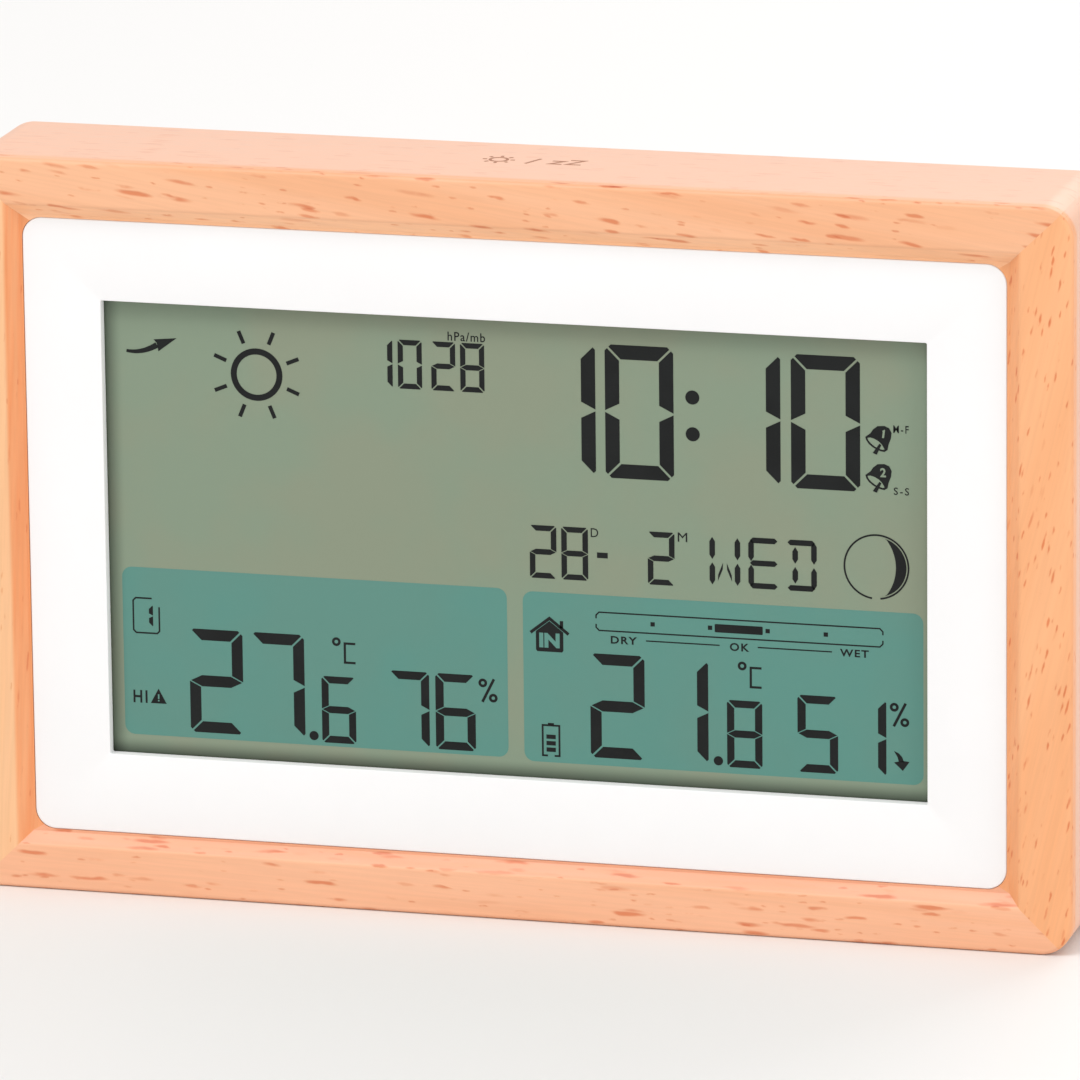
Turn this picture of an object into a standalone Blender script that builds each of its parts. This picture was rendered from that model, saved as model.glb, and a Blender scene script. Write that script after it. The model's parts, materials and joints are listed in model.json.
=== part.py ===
"""Home weather station: a mitred beech frame around a white bezel, a large LCD and its electronics.

Metres. X runs to the object's right as seen from the front, Y from the front to the back, Z up.
The origin is under the middle of the object, on the surface that it stands on.
"""

import math

import bmesh
import bpy
from mathutils import Vector

OBJECT_NAME = "weather_station"

# Driving dimensions.
WIDTH = 0.166
HEIGHT = 0.110
DEPTH = 0.0255
GAP = 0.0003

# Wooden frame. Its front rim slopes down to the bezel's level, then drops straight to a ledge.
OUTER_CORNER_RADIUS = 0.0048
FRONT_ARRIS_RADIUS = 0.0006
REAR_ARRIS_RADIUS = 0.0008
SIDE_RIM = 0.0082
END_RIM = 0.0072
BEVEL_WIDTH = 0.0013
BEVEL_DEPTH = 0.0016
RECESS_DEPTH = 0.0035
SIDE_LEDGE_WIDTH = 0.004
END_LEDGE_WIDTH = 0.003
LEDGE_THICKNESS = 0.0045
CAVITY_WIDTH = 0.152
CAVITY_HEIGHT = 0.099
WEDGE_OUTSIDE = 0.004
WEDGE_INSIDE = 0.024

# Bezel plate and display.
BEZEL_WIDTH = 0.1461
BEZEL_HEIGHT = 0.0921
BEZEL_RADIUS = 0.003
BEZEL_EDGE = 0.0004
BEZEL_SET_BACK = 0.0016
WINDOW_WIDTH = 0.1228
WINDOW_HEIGHT = 0.0682
GLASS_WIDTH = 0.127
GLASS_BELOW_WINDOW = 0.0013
GLASS_THICKNESS = 0.0011
CONTACT_LEDGE = 0.0037
LIGHT_GUIDE_THICKNESS = 0.0028
HOLDER_WIDTH = 0.1369
HOLDER_HEIGHT = 0.0859

# Rear cover.
COVER_WIDTH = 0.1508
COVER_HEIGHT = 0.0978
COVER_WALL = 0.0016
COVER_PLATE = 0.002
COVER_SET_BACK = 0.00055
COVER_CORNER_RADIUS = 0.0015
JOIN_OVERLAP = 0.0005

# Screws.
SCREW_RADIUS = 0.00125
SCREW_HEAD_RADIUS = 0.0025
SCREW_HEAD_HEIGHT = 0.0016
SCREW_SEAT_DEPTH = 0.0026
SCREW_PILOT_DEPTH = 0.0035
SCREW_POST_RADIUS = 0.0029
COVER_SCREW_X = 0.072
COVER_SCREW_Z = (0.020, 0.090)
BOARD_SCREW_X = 0.0661
BOARD_SCREW_Z = (0.047, 0.0925)
BOARD_SCREW_HOLE_RADIUS = 0.0011

# Main board.
BOARD_WIDTH = 0.135
BOARD_LOW = 0.042
BOARD_HIGH = 0.0965
BOARD_THICKNESS = 0.0016

# Batteries, size AAA.
CELL_RADIUS = 0.00515
CELL_LENGTH = 0.0433
NUB_RADIUS = 0.0019
NUB_LENGTH = 0.0009
CELL_SPACING = 0.012
BAY_WIDTH = 0.0524
BAY_HEIGHT = 0.024
BAY_WALL = 0.0016
BAY_CENTRE_Z = 0.026
DOOR_LEDGE = 0.0012
DOOR_THICKNESS = 0.0012

# Rear keys.
KEY_ROW_Z = 0.074
KEY_SPACING = 0.020
KEY_WIDTH = 0.009
KEY_HEIGHT = 0.005
KEY_PROUD = 0.0004
KEY_TRAVEL = 0.0005
KEY_NAMES = ("set", "plus", "minus", "alarm", "channel", "history")
KEY_FLANGE_THICKNESS = 0.0008
KEY_STEM_HALF_WIDTH = 0.0012
TACT_BODY_HEIGHT = 0.0035
TACT_HALF_WIDTH = 0.003
TACT_TOTAL_HEIGHT = 0.00525

# Other things on or through the rear cover.
USB_X = 0.052
USB_Z = 0.024
USB_BOARD_FRONT_Y = 0.0032
USB_BOARD_BACK_Y = 0.0042
SLIDE_X = 0.050
SLIDE_Z = 0.055
SLIDE_TRAVEL = 0.002
SLIDE_KNOB_HALF_WIDTH = 0.0015
BUZZER_X = -0.022
BUZZER_Z = 0.053
BUZZER_RADIUS = 0.006
BUZZER_HEIGHT = 0.006
SENSOR_X = -0.054
SENSOR_Z = 0.054
VENT_COUNT = 7
VENT_SPACING = 0.0032
KEYHOLE_Z = 0.0865
KEYHOLE_HEAD_RADIUS = 0.0044
KEYHOLE_SHANK_HALF_WIDTH = 0.0019
KEYHOLE_RISE = 0.0100

# Parts on the main board, as the middle of each in X and Z.
CHIP_AT = (0.026, 0.0885)
CRYSTAL_AT = (0.040, 0.0885)
PRESSURE_SENSOR_AT = (-0.036, 0.0543)
RECEIVER_AT = (0.020, 0.0535)
ANTENNA_START = (0.0100, 0.0065, 0.0635)
ANTENNA_RADIUS = 0.0022
ANTENNA_PITCH = 0.0019
ANTENNA_TURNS = 9
COIL_POINTS_PER_TURN = 8

# Places that follow from the driving dimensions.
FRONT_Y = -DEPTH / 2
REAR_Y = DEPTH / 2
MIDDLE_Z = HEIGHT / 2
RECESS_Y = FRONT_Y + RECESS_DEPTH
RECESS_HALF_X = WIDTH / 2 - SIDE_RIM - BEVEL_WIDTH
RECESS_HALF_Z = HEIGHT / 2 - END_RIM - BEVEL_WIDTH
LEDGE_BACK_Y = RECESS_Y + LEDGE_THICKNESS
BEZEL_FRONT_Y = FRONT_Y + BEZEL_SET_BACK
BEZEL_BACK_Y = RECESS_Y - GAP
GLASS_FRONT_Y = BEZEL_BACK_Y + GAP
GLASS_BACK_Y = GLASS_FRONT_Y + GLASS_THICKNESS
REAR_GLASS_BACK_Y = GLASS_BACK_Y + GAP + GLASS_THICKNESS
GUIDE_FRONT_Y = REAR_GLASS_BACK_Y + GAP
GUIDE_BACK_Y = GUIDE_FRONT_Y + LIGHT_GUIDE_THICKNESS
GLASS_LOW_Z = MIDDLE_Z - WINDOW_HEIGHT / 2 - GLASS_BELOW_WINDOW
GLASS_HIGH_Z = MIDDLE_Z + WINDOW_HEIGHT / 2 + GLASS_BELOW_WINDOW
BOARD_BACK_Y = 0.0
BOARD_FRONT_Y = BOARD_BACK_Y - BOARD_THICKNESS
PLATE_BACK_Y = REAR_Y - COVER_SET_BACK
PLATE_FRONT_Y = PLATE_BACK_Y - COVER_PLATE
COVER_FRONT_Y = LEDGE_BACK_Y + GAP
CELL_Y = 0.0054
BAY_FLOOR_Y = CELL_Y - CELL_RADIUS - GAP
PART_Y = BOARD_BACK_Y + GAP
COVER_WALL_BACK_Y = PLATE_BACK_Y - JOIN_OVERLAP
DOOR_FRONT_Y = PLATE_BACK_Y - DOOR_THICKNESS


def clear_scene():
    for obj in list(bpy.data.objects):
        bpy.data.objects.remove(obj, do_unlink=True)


def make_collection(name):
    collection = bpy.data.collections.new(name)
    bpy.context.scene.collection.children.link(collection)
    return collection


clear_scene()
PARTS = make_collection(OBJECT_NAME)
CUTTERS = make_collection("cutters")


def make_material(name, colour, roughness, metallic=0.0, transmission=0.0):
    material = bpy.data.materials.new(name)
    material.use_nodes = True
    shader = material.node_tree.nodes["Principled BSDF"]
    shader.inputs["Base Color"].default_value = (*colour, 1.0)
    shader.inputs["Roughness"].default_value = roughness
    shader.inputs["Metallic"].default_value = metallic
    shader.inputs["Transmission Weight"].default_value = transmission
    return material


BEECH = make_material("beech", (0.90, 0.52, 0.29), 0.45)
WHITE_PLASTIC = make_material("white_plastic", (0.93, 0.92, 0.90), 0.35)
REAR_PLASTIC = make_material("rear_plastic", (0.88, 0.87, 0.85), 0.5)
KEY_PLASTIC = make_material("key_plastic", (0.80, 0.79, 0.77), 0.45)
LCD_GLASS = make_material("lcd_glass", (0.28, 0.34, 0.24), 0.15)
CLEAR_ACRYLIC = make_material("clear_acrylic", (0.90, 0.95, 0.95), 0.1, transmission=0.8)
BOARD_GREEN = make_material("board_green", (0.03, 0.22, 0.10), 0.4)
BLACK_EPOXY = make_material("black_epoxy", (0.02, 0.02, 0.02), 0.35)
BLACK_PLASTIC = make_material("black_plastic", (0.03, 0.03, 0.03), 0.5)
SENSOR_WHITE = make_material("sensor_white", (0.85, 0.85, 0.85), 0.5)
STEEL = make_material("steel", (0.62, 0.62, 0.62), 0.3, metallic=1.0)
COPPER = make_material("copper", (0.85, 0.45, 0.28), 0.3, metallic=1.0)
ELASTOMER = make_material("elastomer", (0.55, 0.12, 0.10), 0.6)
CELL_JACKET = make_material("cell_jacket", (0.07, 0.20, 0.42), 0.35)
RED_WIRE = make_material("red_wire", (0.65, 0.04, 0.03), 0.5)
BLACK_WIRE = make_material("black_wire", (0.03, 0.03, 0.03), 0.5)


def add_object(name, mesh, material, location):
    """An object in the parts collection, or in the cutters' where it has no material."""
    obj = bpy.data.objects.new(name, mesh)
    obj.location = location
    if material is None:
        CUTTERS.objects.link(obj)
        obj.hide_render = True
        obj.display_type = "WIRE"
    else:
        PARTS.objects.link(obj)
        if not mesh.materials:
            mesh.materials.append(material)
    return obj


def mesh_from(name, bm):
    mesh = bpy.data.meshes.new(name)
    bmesh.ops.recalc_face_normals(bm, faces=bm.faces)
    bm.to_mesh(mesh)
    bm.free()
    return mesh


def middle(low, high):
    return [(a + b) / 2 for a, b in zip(low, high)]


def cube_bmesh(size):
    bm = bmesh.new()
    bmesh.ops.create_cube(bm, size=1.0)
    bmesh.ops.scale(bm, vec=size, verts=bm.verts)
    return bm


def box(name, material, low, high):
    size = [b - a for a, b in zip(low, high)]
    return add_object(name, mesh_from(name, cube_bmesh(size)), material, middle(low, high))


def edges_along(bm, axis):
    """The edges that run along one axis, by its index."""
    chosen = []
    for edge in bm.edges:
        run = (edge.verts[1].co - edge.verts[0].co).normalized()
        if abs(run[axis]) > 0.999:
            chosen.append(edge)
    return chosen


def edges_on_plane(bm, axis, value):
    chosen = []
    for edge in bm.edges:
        if all(abs(vert.co[axis] - value) < 1e-6 for vert in edge.verts):
            chosen.append(edge)
    return chosen


def round_edges(bm, edges, radius, segments):
    bmesh.ops.bevel(
        bm, geom=edges, offset=radius, segments=segments, profile=0.5, affect="EDGES", clamp_overlap=True
    )


def rounded_block(size, radius, segments):
    """A block whose four edges along Y are rounded."""
    bm = cube_bmesh(size)
    round_edges(bm, edges_along(bm, 1), radius, segments)
    return bm


def plate(name, material, low, high, radius, segments=4):
    """A block with round corners as seen from the front or the back."""
    size = [b - a for a, b in zip(low, high)]
    mesh = mesh_from(name, rounded_block(size, radius, segments))
    return add_object(name, mesh, material, middle(low, high))


def rod(name, material, centre, axis, radius, length, sides=16):
    bm = bmesh.new()
    bmesh.ops.create_cone(
        bm, cap_ends=True, segments=sides, radius1=radius, radius2=radius, depth=length
    )
    turn = Vector((0, 0, 1)).rotation_difference(Vector(axis)).to_matrix()
    bmesh.ops.rotate(bm, cent=(0, 0, 0), matrix=turn, verts=bm.verts)
    return add_object(name, mesh_from(name, bm), material, centre)


def turned(name, material, location, axis, profile, steps):
    """A profile of (radius, height) points, bottom to top, turned about the axis through the location."""
    mesh = bpy.data.meshes.new(name)
    points = [(radius, 0, height) for radius, height in reversed(profile)]
    links = [(i, i + 1) for i in range(len(points) - 1)]
    mesh.from_pydata(points, links, [])
    obj = add_object(name, mesh, material, location)
    obj.rotation_mode = "QUATERNION"
    obj.rotation_quaternion = Vector((0, 0, 1)).rotation_difference(Vector(axis))
    screw = obj.modifiers.new("turn", "SCREW")
    screw.steps = steps
    screw.render_steps = steps
    screw.use_merge_vertices = True
    screw.merge_threshold = 0.00001
    return obj


def wire(name, material, points, radius, bevel_resolution=2):
    curve = bpy.data.curves.new(name, "CURVE")
    curve.dimensions = "3D"
    curve.bevel_depth = radius
    curve.bevel_resolution = bevel_resolution
    curve.use_fill_caps = True
    spline = curve.splines.new("POLY")
    spline.points.add(len(points) - 1)
    for point, place in zip(spline.points, points):
        point.co = (*place, 1.0)
    obj = bpy.data.objects.new(name, curve)
    PARTS.objects.link(obj)
    curve.materials.append(material)
    return obj


def boolean(target, tools, operation):
    for tool in tools:
        modifier = target.modifiers.new(f"{operation.lower()} {tool.name}", "BOOLEAN")
        modifier.operation = operation
        modifier.object = tool
        modifier.solver = "EXACT"


def cut(target, *tools):
    boolean(target, tools, "DIFFERENCE")


def join(target, *tools):
    boolean(target, tools, "UNION")


def keep_inside(target, tool):
    boolean(target, [tool], "INTERSECT")


def smooth_curve(route, spacing):
    """Points along a Catmull-Rom curve through the route."""
    knots = [Vector(p) for p in route]
    knots = [2 * knots[0] - knots[1], *knots, 2 * knots[-1] - knots[-2]]
    points = []
    for i in range(1, len(knots) - 2):
        p0, p1, p2, p3 = knots[i - 1 : i + 3]
        count = max(2, round((p2 - p1).length / spacing))
        for step in range(count):
            t = step / count
            bend = 2 * p0 - 5 * p1 + 4 * p2 - p3
            twist = 3 * p1 - p0 - 3 * p2 + p3
            points.append(0.5 * (2 * p1 + (p2 - p0) * t + bend * t * t + twist * t**3))
    points.append(knots[-2])
    return points


# ---------------------------------------------------------------- wooden frame


def recess_cutter():
    """The front recess: sloping walls down to the bezel's level, then straight ones to the ledge."""
    beyond = 0.001
    bm = cube_bmesh((2 * RECESS_HALF_X, RECESS_DEPTH + beyond, 2 * RECESS_HALF_Z))
    centre_y = (FRONT_Y - beyond + RECESS_Y) / 2
    bend_y = FRONT_Y + BEVEL_DEPTH - centre_y
    everything = bm.verts[:] + bm.edges[:] + bm.faces[:]
    bmesh.ops.bisect_plane(bm, geom=everything, plane_co=(0, bend_y, 0), plane_no=(0, 1, 0))
    front_y = min(vert.co.y for vert in bm.verts)
    spread = BEVEL_WIDTH / BEVEL_DEPTH * (BEVEL_DEPTH + beyond)
    for vert in bm.verts:
        if vert.co.y < (front_y + bend_y) / 2:
            vert.co.x += math.copysign(spread, vert.co.x)
            vert.co.z += math.copysign(spread, vert.co.z)
    return add_object("recess_cutter", mesh_from("recess_cutter", bm), None, (0, centre_y, MIDDLE_Z))


def mitre_wedge(name, along_x, side):
    """The wedge that holds one rail (along X) or stile, between the mitre planes at its ends.

    The planes lie at 45 degrees, through the corners of the recess.
    """
    longer = RECESS_HALF_X - RECESS_HALF_Z
    trim = GAP / math.sqrt(2)
    bm = cube_bmesh((1.0, 2 * DEPTH, 1.0))
    for vert in bm.verts:
        if along_x:
            outside = vert.co.z * side > 0
            reach = HEIGHT / 2 + (WEDGE_OUTSIDE if outside else -WEDGE_INSIDE)
            half_length = math.copysign(reach + longer - trim, vert.co.x)
            vert.co = (half_length, vert.co.y, side * reach)
        else:
            outside = vert.co.x * side > 0
            reach = WIDTH / 2 + (WEDGE_OUTSIDE if outside else -WEDGE_INSIDE)
            half_length = math.copysign(reach - longer - trim, vert.co.z)
            vert.co = (side * reach, vert.co.y, half_length)
    return add_object(name, mesh_from(name, bm), None, (0, 0, MIDDLE_Z))


def make_frame():
    bm = rounded_block((WIDTH, DEPTH, HEIGHT), OUTER_CORNER_RADIUS, 6)
    round_edges(bm, edges_on_plane(bm, 1, FRONT_Y), FRONT_ARRIS_RADIUS, 3)
    round_edges(bm, edges_on_plane(bm, 1, REAR_Y), REAR_ARRIS_RADIUS, 2)
    blank = mesh_from("frame_blank", bm)
    recess = recess_cutter()
    opening_half_x = RECESS_HALF_X - SIDE_LEDGE_WIDTH
    opening_half_z = RECESS_HALF_Z - END_LEDGE_WIDTH
    opening = box(
        "opening_cutter",
        None,
        (-opening_half_x, -DEPTH, MIDDLE_Z - opening_half_z),
        (opening_half_x, DEPTH, MIDDLE_Z + opening_half_z),
    )
    cavity = box(
        "cavity_cutter",
        None,
        (-CAVITY_WIDTH / 2, LEDGE_BACK_Y, MIDDLE_Z - CAVITY_HEIGHT / 2),
        (CAVITY_WIDTH / 2, DEPTH, MIDDLE_Z + CAVITY_HEIGHT / 2),
    )
    layout = (
        ("frame_top_rail", True, 1),
        ("frame_bottom_rail", True, -1),
        ("frame_left_stile", False, -1),
        ("frame_right_stile", False, 1),
    )
    for name, along_x, side in layout:
        piece = add_object(name, blank.copy(), BEECH, (0, 0, MIDDLE_Z))
        keep_inside(piece, mitre_wedge(f"{name}_wedge", along_x, side))
        cut(piece, recess, opening, cavity)
        if not along_x:
            for z in COVER_SCREW_Z:
                centre = (side * COVER_SCREW_X, LEDGE_BACK_Y, z)
                radius = SCREW_RADIUS + GAP
                pilot_name = f"{name}_pilot_{z:.3f}"
                pilot = rod(pilot_name, None, centre, (0, 1, 0), radius, 2 * SCREW_PILOT_DEPTH, 10)
                cut(piece, pilot)


# ---------------------------------------------------------------- bezel and display


def make_bezel():
    size = (BEZEL_WIDTH, BEZEL_BACK_Y - BEZEL_FRONT_Y, BEZEL_HEIGHT)
    bm = rounded_block(size, BEZEL_RADIUS, 6)
    round_edges(bm, edges_on_plane(bm, 1, -size[1] / 2), BEZEL_EDGE, 2)
    mesh = mesh_from("bezel_plate", bm)
    centre = (0, (BEZEL_FRONT_Y + BEZEL_BACK_Y) / 2, MIDDLE_Z)
    bezel = add_object("bezel_plate", mesh, WHITE_PLASTIC, centre)
    window = box(
        "window_cutter",
        None,
        (-WINDOW_WIDTH / 2, FRONT_Y, MIDDLE_Z - WINDOW_HEIGHT / 2),
        (WINDOW_WIDTH / 2, GLASS_BACK_Y, MIDDLE_Z + WINDOW_HEIGHT / 2),
    )
    cut(bezel, window)


def make_display():
    half = GLASS_WIDTH / 2
    box(
        "lcd_front_glass",
        LCD_GLASS,
        (-half, GLASS_FRONT_Y, GLASS_LOW_Z),
        (half, GLASS_BACK_Y, GLASS_HIGH_Z + CONTACT_LEDGE),
    )
    box(
        "lcd_rear_glass",
        LCD_GLASS,
        (-half, GLASS_BACK_Y + GAP, GLASS_LOW_Z),
        (half, REAR_GLASS_BACK_Y, GLASS_HIGH_Z),
    )
    guide_end = half - 0.004
    box(
        "backlight_light_guide",
        CLEAR_ACRYLIC,
        (-half, GUIDE_FRONT_Y, GLASS_LOW_Z),
        (guide_end, GUIDE_BACK_Y, GLASS_HIGH_Z),
    )
    board_x = guide_end + 0.0024
    leds = box(
        "backlight_led_board",
        BOARD_GREEN,
        (board_x, GUIDE_FRONT_Y, GLASS_LOW_Z + 0.002),
        (board_x + 0.0010, GUIDE_BACK_Y, GLASS_HIGH_Z - 0.002),
    )
    for i, z in enumerate((0.033, 0.055, 0.077)):
        led = box(
            f"led_{i}",
            None,
            (guide_end + GAP, GUIDE_FRONT_Y + 0.0005, z - 0.0015),
            (board_x + 0.0002, GUIDE_BACK_Y - 0.0005, z + 0.0015),
        )
        join(leds, led)
    strip_middle_z = GLASS_HIGH_Z + CONTACT_LEDGE / 2 + 0.0003
    box(
        "zebra_connector",
        ELASTOMER,
        (-0.056, GLASS_BACK_Y + GAP, strip_middle_z - 0.001),
        (0.056, BOARD_FRONT_Y - GAP, strip_middle_z + 0.001),
    )


def make_holder():
    """The frame that carries the display stack and, on its screws, the main board."""
    low = (-HOLDER_WIDTH / 2, GLASS_FRONT_Y, MIDDLE_Z - HOLDER_HEIGHT / 2)
    high = (HOLDER_WIDTH / 2, BOARD_FRONT_Y - GAP, MIDDLE_Z + HOLDER_HEIGHT / 2)
    holder = plate("lcd_holder", WHITE_PLASTIC, low, high, 0.002, 2)
    room = 0.0004
    stack = box(
        "stack_cutter",
        None,
        (-GLASS_WIDTH / 2 - room, FRONT_Y, GLASS_LOW_Z - room),
        (GLASS_WIDTH / 2 + room, DEPTH, GLASS_HIGH_Z + CONTACT_LEDGE + room),
    )
    cut(holder, stack)
    for side in (-1, 1):
        for z in BOARD_SCREW_Z:
            centre = (side * BOARD_SCREW_X, BOARD_FRONT_Y, z)
            hole_name = f"boss_hole_{side}_{z:.4f}"
            hole = rod(hole_name, None, centre, (0, 1, 0), BOARD_SCREW_HOLE_RADIUS, 0.009, 10)
            cut(holder, hole)


# ---------------------------------------------------------------- main board


def make_board():
    board = box(
        "main_pcb",
        BOARD_GREEN,
        (-BOARD_WIDTH / 2, BOARD_FRONT_Y, BOARD_LOW),
        (BOARD_WIDTH / 2, BOARD_BACK_Y, BOARD_HIGH),
    )
    shank = ((0, -0.0058), (0.0008, -0.0050), (0.0008, 0))
    head = ((0.0018, 0), (0.0018, 0.0009), (0, 0.0013))
    number = 0
    for side in (-1, 1):
        for z in BOARD_SCREW_Z:
            number += 1
            centre = (side * BOARD_SCREW_X, BOARD_BACK_Y, z)
            hole_name = f"board_hole_{number}"
            hole = rod(hole_name, None, centre, (0, 1, 0), BOARD_SCREW_HOLE_RADIUS, 0.006, 10)
            cut(board, hole)
            place = (centre[0], PART_Y, z)
            turned(f"pcb_screw_{number}", STEEL, place, (0, 1, 0), (*shank, *head), 10)


def coil_points(start, end, start_radius, end_radius, turns):
    """Points round a coil whose axis runs along X from start to end."""
    points = []
    count = turns * COIL_POINTS_PER_TURN
    for i in range(count + 1):
        done = i / count
        angle = 2 * math.pi * i / COIL_POINTS_PER_TURN
        radius = start_radius + (end_radius - start_radius) * done
        x = start[0] + (end[0] - start[0]) * done
        points.append((x, start[1] + radius * math.cos(angle), start[2] + radius * math.sin(angle)))
    return points


def make_chip_and_crystal():
    dome = [(0.007 * math.cos(a), 0.002 * math.sin(a)) for a in (0, 0.35, 0.75, 1.15)]
    profile = ((0, 0), *dome, (0, 0.002))
    turned("chip_glob_top", BLACK_EPOXY, (CHIP_AT[0], PART_Y, CHIP_AT[1]), (0, 1, 0), profile, 16)
    crystal_centre = (CRYSTAL_AT[0], PART_Y + 0.0011, CRYSTAL_AT[1])
    rod("quartz_crystal", STEEL, crystal_centre, (0, 0, 1), 0.001, 0.006, 10)


def make_sensors():
    x, z = PRESSURE_SENSOR_AT
    half_x = 0.0019
    half_z = 0.0018
    low = (x - half_x, PART_Y, z - half_z)
    high = (x + half_x, PART_Y + 0.0012, z + half_z)
    plate("pressure_sensor", STEEL, low, high, 0.0004, 2)
    half_x = 0.006
    half_z = 0.0065
    height = 0.0045
    low = (SENSOR_X - half_x, PART_Y, SENSOR_Z - half_z)
    high = (SENSOR_X + half_x, PART_Y + height, SENSOR_Z + half_z)
    sensor = plate("humidity_sensor", SENSOR_WHITE, low, high, 0.001, 2)
    for i in range(3):
        slot_z = SENSOR_Z + (i - 1) * 0.003
        low = (SENSOR_X - 0.004, PART_Y + height - 0.001, slot_z - 0.0006)
        high = (SENSOR_X + 0.004, PART_Y + height + 0.0015, slot_z + 0.0006)
        cut(sensor, box(f"sensor_slot_{i}", None, low, high))


def make_buzzer():
    hole_radius = 0.0012
    hole_depth = 0.0012
    profile = (
        (0, 0),
        (BUZZER_RADIUS, 0),
        (BUZZER_RADIUS, BUZZER_HEIGHT - 0.0005),
        (BUZZER_RADIUS - 0.0005, BUZZER_HEIGHT),
        (hole_radius, BUZZER_HEIGHT),
        (hole_radius, BUZZER_HEIGHT - hole_depth),
        (0, BUZZER_HEIGHT - hole_depth),
    )
    turned("buzzer", BLACK_PLASTIC, (BUZZER_X, PART_Y, BUZZER_Z), (0, 1, 0), profile, 20)


def make_receiver():
    x, z = RECEIVER_AT
    low = (x - 0.014, 0.0026, z - 0.0065)
    high = (x + 0.014, 0.0036, z + 0.0065)
    box("rf_receiver_board", BOARD_GREEN, low, high)
    end = (ANTENNA_START[0] + ANTENNA_PITCH * ANTENNA_TURNS, *ANTENNA_START[1:])
    coil = coil_points(ANTENNA_START, end, ANTENNA_RADIUS, ANTENNA_RADIUS, ANTENNA_TURNS)
    wire("rf_antenna", COPPER, coil, 0.0003, 1)


def make_touch_field():
    """A copper pad under the top rail, and the spring that joins it to the board."""
    pad_thickness = 0.0008
    pad_top = MIDDLE_Z + CAVITY_HEIGHT / 2 - GAP
    wire_radius = 0.0003
    low = (-0.012, -0.0030, pad_top - pad_thickness)
    box("touch_pad", COPPER, low, (0.012, 0.0070, pad_top))
    top = pad_top - pad_thickness - GAP - wire_radius
    route = (
        (0.0, 0.0006, 0.0935),
        (0.0, 0.0012, 0.0965),
        (0.0, 0.0042, 0.0985),
        (0.0, 0.0030, 0.1012),
        (0.0, 0.0022, top - 0.0012),
        (0.0, 0.0034, top),
        (0.0, 0.0050, top),
    )
    wire("touch_contact_spring", STEEL, smooth_curve(route, 0.0010), wire_radius, 1)


# ---------------------------------------------------------------- keys and switches


def key_positions():
    first = -KEY_SPACING * (len(KEY_NAMES) - 1) / 2
    return [first + KEY_SPACING * i for i in range(len(KEY_NAMES))]


def make_switches():
    half = TACT_HALF_WIDTH
    plunger_length = 0.0025
    plunger_y = PART_Y + TACT_TOTAL_HEIGHT - plunger_length / 2
    for number, x in enumerate(key_positions(), 1):
        low = (x - half, PART_Y, KEY_ROW_Z - half)
        high = (x + half, PART_Y + TACT_BODY_HEIGHT, KEY_ROW_Z + half)
        switch = box(f"tact_switch_{number}", BLACK_PLASTIC, low, high)
        centre = (x, plunger_y, KEY_ROW_Z)
        join(switch, rod(f"plunger_{number}", None, centre, (0, 1, 0), 0.0017, plunger_length, 12))


def make_keys():
    """Each key has a cap that shows, a flange behind the cover, and a stem down to its switch."""
    cap_back = PLATE_BACK_Y + KEY_PROUD
    flange_back = PLATE_FRONT_Y - GAP
    flange_front = flange_back - KEY_FLANGE_THICKNESS
    stem_end = PART_Y + TACT_TOTAL_HEIGHT + GAP + KEY_TRAVEL
    half_x = KEY_WIDTH / 2
    half_z = KEY_HEIGHT / 2
    rim = 0.001
    stem = KEY_STEM_HALF_WIDTH
    for name, x in zip(KEY_NAMES, key_positions()):
        low = (x - half_x, flange_front, KEY_ROW_Z - half_z)
        high = (x + half_x, cap_back, KEY_ROW_Z + half_z)
        key = plate(f"button_{name}", KEY_PLASTIC, low, high, half_z - 0.0001, 4)
        low = (x - half_x - rim, flange_front, KEY_ROW_Z - half_z - rim)
        high = (x + half_x + rim, flange_back, KEY_ROW_Z + half_z + rim)
        flange = box(f"flange_{name}", None, low, high)
        low = (x - stem, stem_end, KEY_ROW_Z - stem)
        high = (x + stem, flange_back, KEY_ROW_Z + stem)
        join(key, flange, box(f"stem_{name}", None, low, high))


def make_slide_switch():
    body_back = PART_Y + 0.0035
    low = (SLIDE_X - 0.0045, PART_Y, SLIDE_Z - 0.002)
    box("slide_switch_body", STEEL, low, (SLIDE_X + 0.0045, body_back, SLIDE_Z + 0.002))
    start = SLIDE_X - SLIDE_TRAVEL / 2
    half = SLIDE_KNOB_HALF_WIDTH
    low = (start - half, body_back + GAP, SLIDE_Z - 0.0013)
    high = (start + half, PLATE_BACK_Y + KEY_PROUD, SLIDE_Z + 0.0013)
    knob = box("slide_switch_knob", BLACK_PLASTIC, low, high)
    low = (start - 0.0035, PLATE_FRONT_Y - GAP - KEY_FLANGE_THICKNESS, SLIDE_Z - 0.0024)
    high = (start + 0.0035, PLATE_FRONT_Y - GAP, SLIDE_Z + 0.0024)
    join(knob, box("slide_flange", None, low, high))


# ---------------------------------------------------------------- rear cover and battery bay


def through_hole(name, x, z, half_x, half_z, radius, segments):
    """A cutter with round corners that goes right through the cover's plate."""
    beyond = 0.001
    low = (x - half_x, PLATE_FRONT_Y - beyond, z - half_z)
    high = (x + half_x, PLATE_BACK_Y + beyond, z + half_z)
    return plate(name, None, low, high, radius, segments)


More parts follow.
